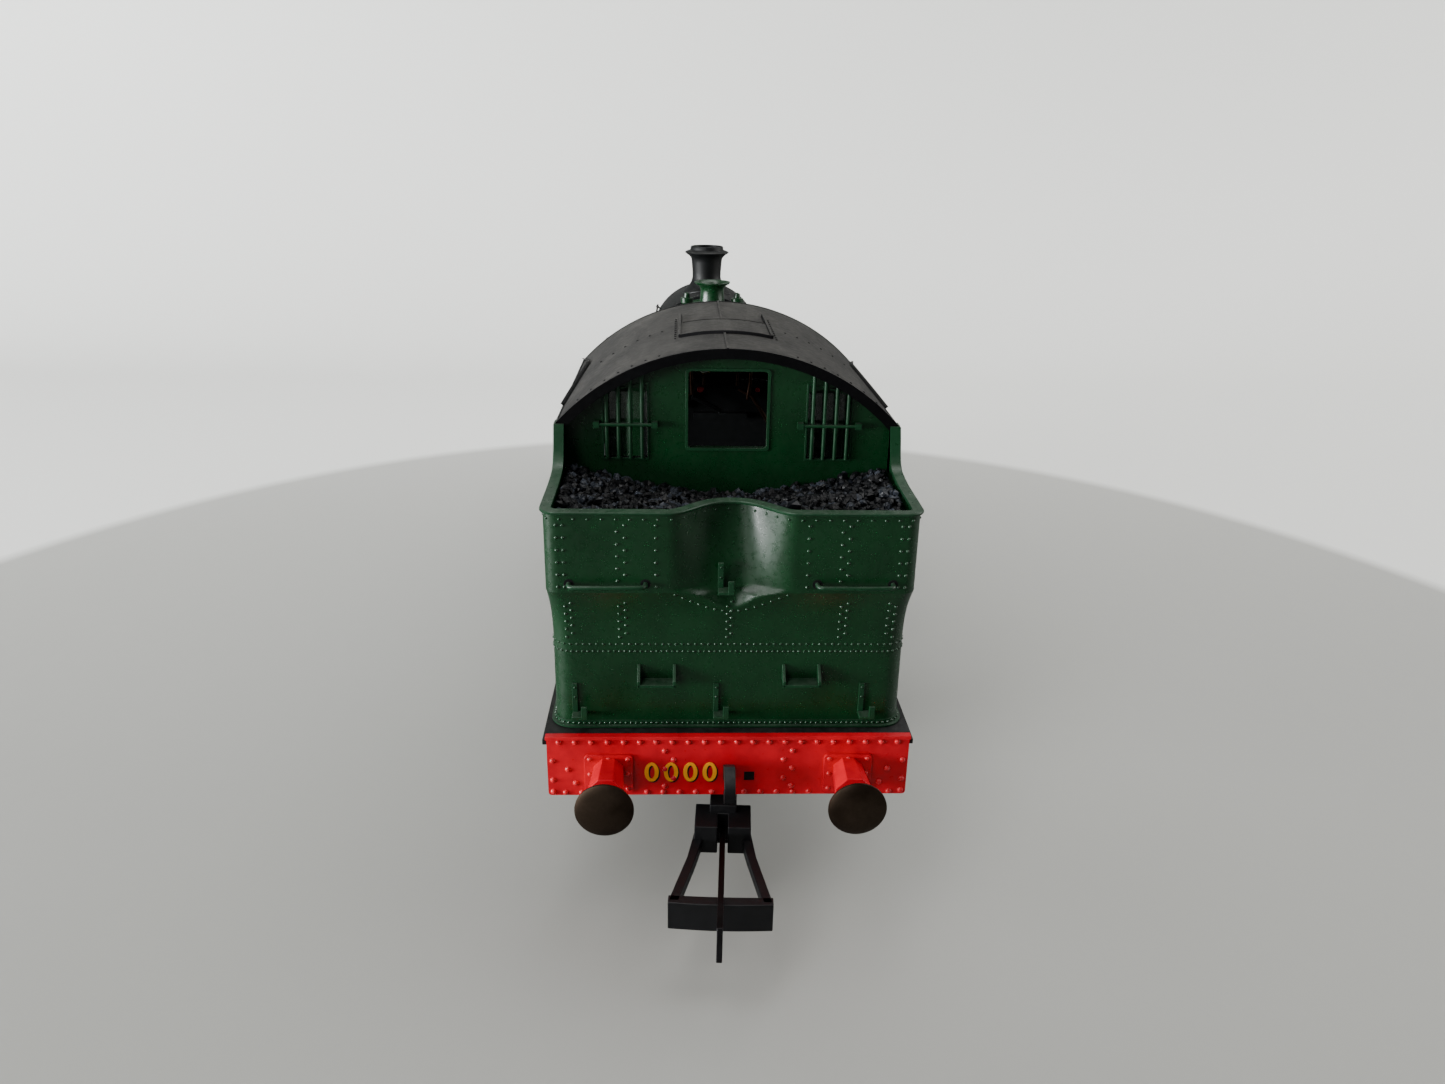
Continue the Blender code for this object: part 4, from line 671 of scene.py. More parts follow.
def bunker_rivets():
    shape = Shape()
    low_pairs = (((15.3, 10.35, 0.3, -10.3, -15.4), 0.0), ((14.75, 9.75, -0.1, -10.9, -14.8), 0.4))
    for columns, shift in low_pairs:
        points, normals = face_rivets(columns, 26.3, 29.7, 0.85, shift)
        shape.rivets(points, normals)
    high_pairs = (((15.8, 15.2, 9.7, 6.9, -6.9, -10.6, -15.3, -15.9), 0.0), ((10.4, -9.93), -0.6))
    for columns, shift in high_pairs:
        points, normals = face_rivets(columns, 31.95, 37.9, 1.19, shift)
        shape.rivets([p for p in points if p.z > 31.8], [n for p, n in zip(points, normals) if p.z > 31.8])
    for z, pitch in ((25.55, 0.62), (24.8, 0.5), (38.45, 1.25)):
        points, normals = band_rivets(z, pitch, REAR + 16.5)
        shape.rivets(points, normals, 0.14, 0.12)
    points, normals = band_rivets(17.15, 0.5, REAR + 16.5)
    shape.rivets([p + n * 0.12 for p, n in zip(points, normals)], normals, 0.14, 0.12)
    fan = []
    for i in range(15):
        y = -5.2 + 5.2 * i / 7
        z = 29.15 + 1.95 * (1 - math.cos(y / 5.2 * math.pi / 2)) ** 0.9
        fan.append(Vector((bunker_face(y, z), y, z)))
    shape.rivets(fan, Vector((-1, 0, -0.35)), 0.14, 0.12)
    for side in SIDES.values():
        for x in (REAR + 5.6, REAR + 6.2, REAR + 15.4, REAR + 16.0):
            heights = [p.z for p in row((0, 0, 26.4), (0, 0, 37.2), 1.2)]
            points = [Vector((x, side * bunker_half(x, z), z)) for z in heights]
            shape.rivets(points, Vector((0, side, 0)))
    show("bunker_rivets", shape, "engine", GLINT_RIVET_GREEN, smooth=60)


def base_angle():
    """The angle iron that joins the bunker to the footplate."""
    path = bunker_path(17.0)
    outward = outward_normals(path)
    points = [Vector((x, y, 16.78)) for x, y in path]
    section = [(-0.1, 0), (0.45, 0), (0.45, 0.16), (0.12, 0.2), (0.10, 0.62), (-0.1, 0.62)]
    show("bunker_base_angle", Shape().strip(points, outward, section), "engine", HIGHLIT_DETAIL_GREEN, smooth=40)


def grab_rails():
    """A bent rail either side of the recess; its ends pass into the face over black discs, painted shade in the holes.
    """
    shape, socket_shade = Shape(), Shape()
    for side in SIDES.values():
        face = bunker_face(12, 32.3)
        out = face - 0.95
        y0, y1 = side * 7.85, side * 14.8
        inset = side * 0.5
        path = [(face + 0.2, y0, 32.25), (face - 0.5, y0, 32.25), (out + 0.12, y0 + inset * 0.3, 32.25)]
        path += [(out, y0 + inset, 32.25), (out, (y0 + y1) / 2, 32.22), (out, y1 - inset, 32.25)]
        path += [(out + 0.12, y1 - inset * 0.3, 32.25), (face - 0.5, y1, 32.25), (face + 0.2, y1, 32.25)]
        shape.tube(path, 0.22, 12)
        for y in (y0, y1):
            # Black discs where the rail ends enter the face: painted shade in the holes.
            socket_shade.lathe([(0, -0.1), (0.46, -0.1), (0.46, 0.04), (0, 0.04)], (-1, 0, 0), (face, y, 32.25), 16)
    show("bunker_grab_rails", shape, "engine", HIGHLIT_DETAIL_GREEN, smooth=50)
    show("grab_rail_socket_shade", socket_shade, "engine", BLACK, smooth=40)


def rear_steps():
    """Two folded steps: a tread between two triangular ears."""
    shape = Shape()
    for side in SIDES.values():
        face = LOWER_FACE
        y0, y1 = both(side, 5.05, 8.72)
        shape.box((face - 1.5, y0, 21.65), (face + 0.1, y1, 21.95))
        for y in (y0, y1 - 0.3):
            ear = [(face + 0.1, 21.7), (face - 1.5, 21.7), (face - 1.5, 22.3)]
            ear += [(face - 0.15, 23.45), (face + 0.1, 23.45)]
            shape.prism(ear, "Y", y, y + 0.3)
    show("bunker_steps", shape, "engine", HIGHLIT_DETAIL_GREEN, bevel=0.06)


def lamp_irons():
    """Four L-shaped irons whose upturned feet carry a lamp."""
    shape = Shape()
    places = [(y, 18.15, LOWER_FACE, 3.3) for y in (14.25, 0.75, -13.3)]
    places.append((0.5, 31.2, bunker_face(0, 31.2) - 0.15, 2.7))
    for y, z, face, tall in places:
        out = face - 1.35
        shape.box((face - 0.25, y + 0.2, z + 0.1), (face + 0.2, y + 0.72, z + tall))
        shape.box((out, y - 0.72, z), (face - 0.02, y + 0.72, z + 0.3))
        shape.box((out - 0.02, y - 0.75, z), (out + 0.26, y - 0.2, z + 1.35))
        bolts = [(face - 0.25, y + 0.46, z + tall - drop) for drop in (0.4, 1.4)]
        shape.rivets(bolts, Vector((-1, 0, 0)), 0.14, 0.11)
    show("lamp_irons", shape, "engine", HIGHLIT_DETAIL_GREEN, bevel=0.05)


# ---------------------------------------------------------------- coal


def coal_height(x, y):
    """The heap: low in the middle by the cab, level with the rim at the sides."""
    forward = min(1.0, max(0.0, (x - UPPER_FACE) / 15.0))
    edge = min(1.0, abs(y) / 15.5)
    wall = 35.8 + 2.9 * edge**1.5
    rear = 37.7 + 0.3 * edge
    height = rear + (wall - rear) * forward**1.3
    height += 0.45 * noise.noise(Vector((x * 0.55, y * 0.55, 3.0)))
    return min(height, RIM + 0.2)


def heap():
    shape = Shape()
    columns, across, bottom = 22, 48, 33.2
    front = CAB_BACK - 0.05
    rings = []
    for j in range(across + 1):
        y = -16.3 + 32.6 * j / across
        back = bunker_face(y, 37.8) + 0.62
        along = [back + (front - back) * i / columns for i in range(columns + 1)]
        top = [Vector((x, y, coal_height(x, y) - 0.15)) for x in along]
        rings.append(top + [Vector((front, y, bottom)), Vector((back, y, bottom))])
    shape.loft(rings)
    show("coal_heap", shape, "engine", COAL, smooth=20, replaces=("coal_load",))


def lump(shape, centre, size, rng):
    """One lump: a rough icosahedron, stretched and turned at random."""
    made = bmesh.ops.create_icosphere(shape.bm, subdivisions=1, radius=1.0)
    stretch = Vector(rng.uniform(0.6, 1.15) for _ in range(3)) * size
    turn = Quaternion((rng.random(), rng.random() - 0.5, rng.random() - 0.5, rng.random() - 0.5)).normalized()
    for vert in made["verts"]:
        rough = rng.uniform(0.72, 1.12)
        p = vert.co * rough
        vert.co = centre + turn @ Vector((p.x * stretch.x, p.y * stretch.y, p.z * stretch.z))


def coal_lumps():
    rng = random.Random(11)
    shape = Shape()
    for _ in range(2100):
        y = rng.uniform(-16.1, 16.1)
        back = bunker_face(y, 37.8) + 0.95
        x = rng.uniform(back, CAB_BACK - 0.35)
        size = rng.choice((0.26, 0.32, 0.38, 0.46, 0.58))
        z = min(coal_height(x, y) + rng.uniform(-0.12, 0.28), RIM + 0.35)
        lump(shape, Vector((x, y, z)), size, rng)
    lump(shape, Vector((REAR + 6.4, -6.0, 38.2)), 1.05, rng)
    show("coal_lumps", shape, "engine", COAL, smooth=1)


# ---------------------------------------------------------------- cab

EAVE = 43.4
ROOF_TOP = 51.1
ROOF_HALF = span("cab_roof")[1].y
ROOF_BACK = span("cab_roof")[0].x
ROOF_FRONT = span("cab_roof")[1].x
ROOF_RADIUS = (ROOF_HALF**2 + (ROOF_TOP - EAVE) ** 2) / (2 * (ROOF_TOP - EAVE))
ROOF_CENTRE = ROOF_TOP - ROOF_RADIUS


def on_roof(y, lift=0.0):
    """A point (Y, Z) of the roof's skin above a distance from the centre line."""
    angle = math.asin(y / ROOF_RADIUS)
    radius = ROOF_RADIUS + lift
    return radius * math.sin(angle), ROOF_CENTRE + radius * math.cos(angle)


def roof_band(y0, y1, low, high, steps):
    """A closed (Y, Z) outline between two heights over the roof's skin."""
    ys = [y0 + (y1 - y0) * i / steps for i in range(steps + 1)]
    return [on_roof(y, low) for y in ys] + [on_roof(y, high) for y in ys[::-1]]


def roof_sheet():
    shape = Shape()
    shape.prism(roof_band(-ROOF_HALF, ROOF_HALF, -0.5, 0.0, 56), "X", ROOF_BACK + 0.05, ROOF_FRONT - 0.05)
    show("roof_sheet", shape, "engine", ROOF, bevel=0.05, replaces=("cab_roof",))
    rim = Shape()
    # The front and rear rims hang deeper than the side rims: the black edge itself, with a painted shadow under the
    # roof's overhang below it.
    for x0, x1 in ((ROOF_BACK, ROOF_BACK + 0.3), (ROOF_FRONT - 0.3, ROOF_FRONT)):
        rim.prism(roof_band(-ROOF_HALF, ROOF_HALF, -0.95, 0.06, 56), "X", x0, x1)
    for side in SIDES.values():
        y0, y1 = both(side, ROOF_HALF - 0.3, ROOF_HALF)
        rim.prism(roof_band(y0, y1, -0.75, 0.06, 3), "X", ROOF_BACK, ROOF_FRONT)
        rain_strip(rim, side)
    show("roof_rim_and_shadow", rim, "engine", ROOF_EDGE, bevel=0.05)


def rain_strip(shape, side):
    """An upstand that carries rain off the roof to either side of the doorway."""
    plan = [(23.0, 17.05), (26.5, 16.72), (30.0, 16.35), (33.5, 15.98), (36.6, 15.62), (37.8, 15.5)]
    plan += [(39.0, 15.62), (42.0, 16.1), (45.0, 16.6), (48.0, 17.05)]
    foot, crown = [], []
    for x, y in plan:
        for line_points, lift in ((foot, -0.2), (crown, 0.32)):
            v, z = on_roof(y, lift)
            line_points.append(Vector((REAR + x, side * v, z)))
    rings = []
    for a, b in zip(foot, crown):
        across = Vector((0, side * 0.13, 0.0))
        rings.append([a - across, a + across, b + across, b - across])
    shape.loft(rings)


def roof_details():
    """The sliding hatch on its runners, the seam along the roof, and rivets."""
    shape = Shape()
    rear, ahead, end = REAR + 24.9, REAR + 33.2, REAR + 39.6
    half = 4.7
    shape.prism(roof_band(-half, half, -0.1, 0.2, 16), "X", rear, ahead)
    shape.prism(roof_band(-half - 0.1, half + 0.1, -0.1, 0.34, 16), "X", rear - 0.2, rear + 0.12)
    shape.prism(roof_band(-half + 0.2, half - 0.2, -0.1, 0.26, 16), "X", ahead - 0.2, ahead + 0.05)
    for side in SIDES.values():
        y0, y1 = both(side, half, half + 0.28)
        shape.prism(roof_band(y0, y1, -0.1, 0.36, 2), "X", rear, end)
    for x0, x1 in ((ROOF_BACK + 0.1, rear), (ahead, ROOF_FRONT - 0.2)):
        shape.prism(roof_band(0.02, 0.28, -0.1, 0.14, 2), "X", x0, x1)
    show("roof_hatch", shape, "engine", ROOF, bevel=0.04)
    rivets = Shape()
    spots = [(rear - 0.2 + 1.25 * i, half + 0.65) for i in range(11)]
    spots += [(REAR + 31.3, 6.86 + 1.36 * i) for i in range(6)]
    spots += [(REAR + 17.2, 6.86 + 1.36 * i) for i in range(7)]
    for side in SIDES.values():
        for x, y in spots:
            v, z = on_roof(side * y)
            rivets.rivets([(x, v, z)], Vector((0, v, z - ROOF_CENTRE)), 0.15, 0.11)
    show("roof_rivets", rivets, "engine", ROOF_EDGE, smooth=60)


def outline_beading(shape, x, loop, width=0.28, proud=0.16):
    """A raised edge round an opening in a wall across X."""
    centre_u = sum(u for u, _ in loop) / len(loop)
    centre_v = sum(v for _, v in loop) / len(loop)
    outer = []
    for u, v in loop:
        away = Vector((u - centre_u, v - centre_v))
        scale_u = (abs(away.x) + width) / max(abs(away.x), 0.01)
        scale_v = (abs(away.y) + width) / max(abs(away.y), 0.01)
        outer.append((centre_u + away.x * scale_u, centre_v + away.y * scale_v))
    shape.prism(outer, "X", x - proud, x + 0.1, holes=[loop[::-1]])


def cab_rear_wall():
    shape = Shape()
    x = CAB_BACK
    outline_beading(shape, x, rounded(-3.98, 40.82, 3.98, 48.68, 0.35))
    for side in SIDES.values():
        y0, y1 = both(side, 8.1, 12.45)
        top = {y: on_roof(y, -1.35)[1] for y in (y0, y1)}
        pane = [(y0, 39.75), (y1, 39.75), (y1, min(top[y1], 47.4)), (y0, min(top[y0], 47.4))]
        outline_beading(shape, x, pane, 0.2, 0.12)
        sheet = both(side, HALF - 0.55, HALF - 0.02)
        edge = [(REAR + 15.65, 38.6), (REAR + 15.65, 43.3), (CAB_BACK + 0.4, 43.3), (CAB_BACK + 0.4, 38.6)]
        shape.prism(edge, "Y", *sheet)
    show("cab_rear_beading", shape, "engine", HIGHLIT_DETAIL_GREEN, bevel=0.04)


def window_bars():
    """Four round bars and a cross rail on two brackets over each rear window."""
    for name, side in SIDES.items():
        shape = Shape()
        x = CAB_BACK - 0.32
        for i in range(4):
            y = side * (8.6 + 1.18 * i)
            top = on_roof(y, -0.6)[1]
            shape.tube([(x, y, 39.75), (x, y, 43.0), (x, y, top)], 0.2, 10)
        ends = side * 7.35, side * 13.2
        shape.tube([(x - 0.3, ends[0], 43.3), (x - 0.3, ends[1], 43.3)], 0.17, 10)
        for y in ends:
            shape.box((x - 0.5, y - 0.3, 43.0), (CAB_BACK + 0.1, y + 0.3, 43.6))
        node = f"window_grille_{name}"
        show(f"window_bars_{name}", shape, "engine", HIGHLIT_DETAIL_GREEN, smooth=50, replaces=(node,))
        pane = Shape()
        y0, y1 = both(side, 8.12, 12.43)
        pane.box((CAB_BACK + 0.3, y0, 39.78), (CAB_BACK + 0.5, y1, 46.5))
        show(f"window_pane_{name}", pane, "engine", GLASS, bevel=0.03)


def cab_sides():
    """Doorway edges, handrails, door, and rivets on the two side sheets."""
    edges, rails, rivets = Shape(), Shape(), Shape()
    for side in SIDES.values():
        y = side * HALF
        path = [(REAR + 25.0, HIGH_PLATE + 0.1), (REAR + 25.0, 40.0)]
        path += arc(REAR + 26.2, 40.8, 1.2, 180, 90, 5) + arc(REAR + 38.0, 40.0, 2.0, 90, 0, 6)
        path += arc(REAR + 38.0, 34.0, 2.0, 0, -90, 6) + [(REAR + 34.5, 32.0), (REAR + 34.5, HIGH_PLATE + 0.1)]
        outer = [Vector((px, y, pz)) for px, pz in path]
        section = [(-0.1, -0.15), (0.13, -0.15), (0.13, 0.15), (-0.1, 0.15)]
        edges.strip(outer, [Vector((0, side, 0))] * len(outer), section)
        for x in (REAR + 24.2, REAR + 35.4):
            low, high = 24.5, 38.2
            stand = y + side * 0.75
            rails.tube([(x, y, low), (x, stand, low + 0.3), (x, stand, high - 0.3), (x, y, high)], 0.15, 10)
            for z in (low + 0.4, high - 0.4):
                rails.ball((x, stand, z), 0.27)
        for x in (REAR + 18.6, REAR + 22.8, REAR + 37.2, REAR + 45.4):
            points = row((x, y, HIGH_PLATE + 1.2), (x, y, 30.8 if x > REAR + 34 else 39.0), 0.95)
            rivets.rivets(points, Vector((0, side, 0)), 0.14, 0.11)
        for x0, x1, z in ((18.0, 24.4, 21.5), (35.2, 46.0, 21.5), (17.4, 24.4, 42.4), (40.6, 46.0, 42.4)):
            rivets.rivets(row((REAR + x0, y, z), (REAR + x1, y, z), 0.9), Vector((0, side, 0)), 0.14, 0.11)
        y0, y1 = both(side, HALF - 0.7, HALF - 0.3)
        edges.box((REAR + 25.2, y0, HIGH_PLATE + 0.15), (REAR + 34.3, y1, 31.6))
    show("doorway_edges", edges, "engine", GREEN, smooth=40)
    show("cab_handrails", rails, "engine", STEEL, smooth=50)
    show("cab_rivets", rivets, "engine", GLINT_RIVET_GREEN, smooth=60)


def cab_front():
    """Beading, glass and the two spectacle windows above the firebox."""
    shape, panes = Shape(), Shape()
    for side in SIDES.values():
        y0, y1 = both(side, 3.2, 8.3)
        top = {y: on_roof(y, -1.3)[1] for y in (y0, y1)}
        loop = [(y0, 45.2), (y1, 45.2), (y1, min(top[y1], 48.0)), (y0, min(top[y0], 48.0))]
        edge = 0.45
        outer = [(u + (edge if u == y1 else -edge), v + (edge if v > 46 else -edge)) for u, v in loop]
        shape.prism(outer, "X", CAB_FRONT - 0.1, CAB_FRONT + 0.25, holes=[loop[::-1]])
        panes.prism(loop, "X", CAB_FRONT - 0.5, CAB_FRONT - 0.3)
    show("spectacle_rims", shape, "engine", GREEN, bevel=0.05)
    show("spectacle_glass", panes, "engine", GLASS)


def cab_inside():
    """Pipes, valve wheels, gauge glasses and levers in front of the CAD backhead."""
    x = span("backhead")[1].x - 2.2
    pipes, wheels, steel = Shape(), Shape(), Shape()
    for side in SIDES.values():
        bend = [(0.4, 2.2, 42.2), (0.9, 3.8, 41.4), (0.9, 6.0, 38.0), (0.4, 7.2, 33.0)]
        pipes.tube([(x - out, side * y, z) for out, y, z in bend], 0.24, 8)
        pipes.tube([(x - 1.4, side * 3.6, 46.4), (x - 1.5, side * 3.5, 43.2), (x - 0.6, side * 3.3, 41.0)], 0.22, 8)
        steel.tube([(x - 1.8, side * 3.9, 46.9), (x - 1.6, side * 3.2, 44.4)], 0.16, 8)
    for y, size in ((2.4, 1.0), (-4.4, 0.7)):
        rim = [(0, 0), (0.14, 0), (0.14, 0.3), (0.34, 0.2), (0.42, 0.35), (0.34, 0.5), (0, 0.45)]
        rim = [(radius * size, out) for radius, out in rim]
        wheels.lathe(rim, (-1, 0, 0), (x - 1.4, y, 42.4), 16)
    steel.tube([(x - 1.2, 0, 39.6), (x - 1.9, 0, 39.9), (x - 2.0, 3.4, 41.6)], 0.3, 8)
    steel.tube([(x - 4.6, 13.6, 32.0), (x - 4.4, 13.5, 36.4)], 0.25, 8)
    gauges = Shape()
    for y, z in ((2.0, 45.0), (-2.0, 45.2)):
        gauges.lathe([(0, 0), (0.95, 0), (0.95, 0.45), (0.8, 0.5), (0, 0.5)], (-1, 0, 0), (x - 0.9, y, z), 20)
        pipes.tube([(x - 0.4, y, 42.6), (x - 0.9, y, 44.4)], 0.18, 8)
    dials = Shape()
    for y, z in ((2.0, 45.0), (-2.0, 45.2)):
        dials.lathe([(0, 0), (0.72, 0), (0.72, 0.04), (0, 0.04)], (-1, 0, 0), (x - 1.41, y, z), 20)
    show("backhead_pipes", pipes, "engine", COPPER, smooth=50)
    show("valve_wheels", wheels, "engine", HANDLE_RED, smooth=40)
    show("cab_levers", steel, "engine", SMOKEBOX_BLACK, smooth=50)
    show("gauge_cases", gauges, "engine", BRASS, smooth=30)
    show("gauge_dials", dials, "engine", DIAL_WHITE, smooth=30)


# ---------------------------------------------------------------- ends

BEAM_LOW = span("buffer_beam_rear")[0].z
BEAM_HIGH = span("buffer_beam_rear")[1].z
BEAM_HALF = span("buffer_beam_rear")[1].y
BUFFER_Y = middle("buffer_rear_left").y
BUFFER_Z = middle("buffer_rear_left").z
BEAM_THICK = 1.2
BEAM_TOP = 17.42  # the angle along the top of the beam stands above the footplate


def beam_rivets(shape, face, end):
    out = Vector((end, 0, 0))
    points = row((face, -16.1, 16.72), (face, 16.1, 16.72), 1.55)
    points += [p for p in row((face, -15.6, 11.2), (face, 15.6, 11.2), 1.53) if abs(abs(p.y) - 11.4) > 2.2]
    for side in SIDES.values():
        points += [(face, side * 6.1, z) for z in (15.75, 13.8, 11.85)]
        points += [(face, side * 5.25, z) for z in (14.78, 12.75)]
        points += [(face, side * 15.3, 13.75), (face, side * 14.6, 12.25)]
        points += [(face, side * 16.75, z) for z in (11.3, 12.6, 14.7)]
    shape.rivets(points, out, 0.31, 0.22, 10)
    for side in SIDES.values():
        for y in (-1.8, 0, 1.8):
            for z in (-1.62, 0, 1.62):
                if y or z:
                    bolt = (face + end * 0.3, side * BUFFER_Y + y, 13.4 + z)
                    shape.rivets([bolt], out, 0.24, 0.18, 10)


def buffer_housing(shape, face, end, y):
    """An eight-sided casting that widens from its square base, bored for the stem."""
    centre = Vector((face, y, BUFFER_Z))

    def loop(radius, out, sides=8, start=22.5):
        turns = [math.radians(start + 360 * i / sides) for i in range(sides)]
        return [centre + Vector((end * out, radius * math.cos(a), radius * math.sin(a))) for a in turns]

    rings = [(1.50, 0.1), (1.50, 0.5), (1.78, 4.25), (1.84, 4.3), (1.84, 4.5), (1.25, 4.5), (1.22, 0.1)]
    shape.loft([loop(radius, out) for radius, out in rings], closed=True)


def buffer_beam(name, end):
    face = FRONT if end > 0 else REAR
    shape = Shape()
    hole = [(-2.5, 12.45), (-1.5, 12.45), (-1.5, 13.45), (-2.5, 13.45)]
    stems = [ring(side * BUFFER_Y, BUFFER_Z, 0.56, 16)[::-1] for side in SIDES.values()]
    skin = face - end * 0.45
    plates = Shape()
    for top, near, far in ((BEAM_TOP - 0.1, face, skin), (BEAM_HIGH, skin, face - end * BEAM_THICK)):
        outline = rounded(-BEAM_HALF, BEAM_LOW, BEAM_HALF, top, 0.3, 3)
        plates.prism(outline, "X", *sorted((near, far)), holes=[hole, *stems])
    show(f"beam_{name}", plates, "engine", RED, replaces=(f"buffer_beam_{name}",))
    for side in SIDES.values():
        y = side * BUFFER_Y
        base = sorted((face - end * 0.05, face + end * 0.3))
        plate = rounded(y - 2.3, 11.3, y + 2.3, 15.45, 0.4, 3)
        shape.prism(plate, "X", *base, holes=[ring(y, BUFFER_Z, 1.3, 16)[::-1]])
        buffer_housing(shape, face, end, y)
    lip = sorted((face - end * 0.5, face + end * 0.24))
    shape.box((lip[0], -BEAM_HALF - 0.08, BEAM_TOP - 0.36), (lip[1], BEAM_HALF + 0.08, BEAM_TOP))
    show(f"beam_housings_{name}", shape, "engine", RED, bevel=0.06)
    heads = Shape()
    beam_rivets(heads, face, end)
    show(f"beam_rivets_{name}", heads, "engine", GLINT_RIVET_RED, smooth=60)
    for side_name, side in SIDES.items():
        buffer_head(name, end, side_name, side, face)
        buffer_coil(name, end, side_name, side, face)


def buffer_head(name, end, side_name, side, face):
    """A dished and domed head on a polished stem."""
    tip = 7.1
    radius = 2.67
    dome = [(0, tip), (0.7, tip - 0.02), (1.4, tip - 0.08), (2.0, tip - 0.18), (2.45, tip - 0.30)]
    dome += [(radius, tip - 0.42), (radius, tip - 0.60), (2.5, tip - 0.68), (1.3, tip - 0.85), (1.05, tip - 1.05)]
    stem = [(1.05, tip - 3.3), (0.45, tip - 3.3), (0.45, -1.26), (0.85, -1.26), (0.85, -1.6), (0, -1.6)]
    shape = Shape().lathe(dome + stem, (end, 0, 0), (face, side * BUFFER_Y, BUFFER_Z), 48)
    node = f"buffer_{name}_{side_name}"
    show(f"head_{name}_{side_name}", shape, node, HEAD, smooth=35, replaces=(node,))


def buffer_coil(name, end, side_name, side, face):
    """The spring round a buffer's stem."""
    turns, steps, wire, travel = 4, 16, 0.14, 1.5
    low, high = span(f"buffer_spring_{name}_{side_name}")
    near, far = 0.2, high.x - low.x - wire - 0.1
    path = []
    for i in range(turns * steps + 1):
        angle = 2 * math.pi * i / steps
        out = near + (far - near) * i / (turns * steps)
        y = side * BUFFER_Y + 0.84 * math.cos(angle)
        path.append((face + end * out, y, BUFFER_Z + 0.84 * math.sin(angle)))
    shape = Shape()
    shape.tube(path, wire, 8)
    coil = show(f"spring_coil_{name}_{side_name}", shape, "engine", STEEL, smooth=60,
                replaces=(f"buffer_spring_{name}_{side_name}",))
    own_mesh(coil)


def running_number():
    """Four generic noughts in shaded yellow on the rear beam, their shading printed, and a black block in the slot
    beside the hook as painted shade for the hole's dark inside.
    """
    digits, shadows = Shape(), Shape()
    face = REAR
    # A black block inside the square hole: painted shade for the hole's dark inside.
    shadows.box((face + 0.06, -2.56, 12.4), (face + 0.3, -1.44, 13.5))
    for i in range(4):
        y = 7.35 - 1.85 * i
        for shape, shift, out in ((shadows, -0.14, 0.03), (digits, 0.0, 0.06)):
            u, v = y + shift, 13.45 + shift
            oval = [(u + a * 0.68, v + b * 1.05) for a, b in ring(0, 0, 1, 28)]
            inside = [(u + a * 0.30, v + b * 0.74) for a, b in ring(0, 0, 1, 28)]
            shape.prism(oval, "X", face - out, face + 0.02, holes=[inside[::-1]])
    show("number_shadow", shadows, "engine", BLACK, smooth=30)
    show("number_digits", digits, "engine", YELLOW, smooth=30)


def draw_hook(name, end):
    """A flat hook with a rounded back, on a square shank."""
    face = FRONT if end > 0 else REAR
    hook = [(-0.6, 12.6), (-0.6, 14.2), (0.7, 14.3), (1.3, 15.0), (2.1, 15.35)]
    hook += arc(2.3, 13.3, 1.65, 70, -110, 12)
    hook += [(1.45, 12.3)] + arc(2.3, 13.2, 0.62, -90, 95, 8) + [(1.5, 13.6), (0.6, 12.9)]
    shape = Shape().prism([(face + end * x, z) for x, z in hook], "Y", -0.52, 0.52)
    show(f"hook_{name}", shape, "engine", BLACK, bevel=0.14, replaces=(f"draw_hook_{name}",))


def hung(shape, end, swing):
    """Turns a coupling shape, drawn straight along its axis, to where it hangs at rest."""
    face = FRONT if end > 0 else REAR
    place = Matrix.Translation((face - end * 8.0, 0, 0)) @ Matrix.Rotation(math.radians(swing), 4, "Z")
    bmesh.ops.transform(shape.bm, matrix=place, verts=shape.bm.verts)
    return shape


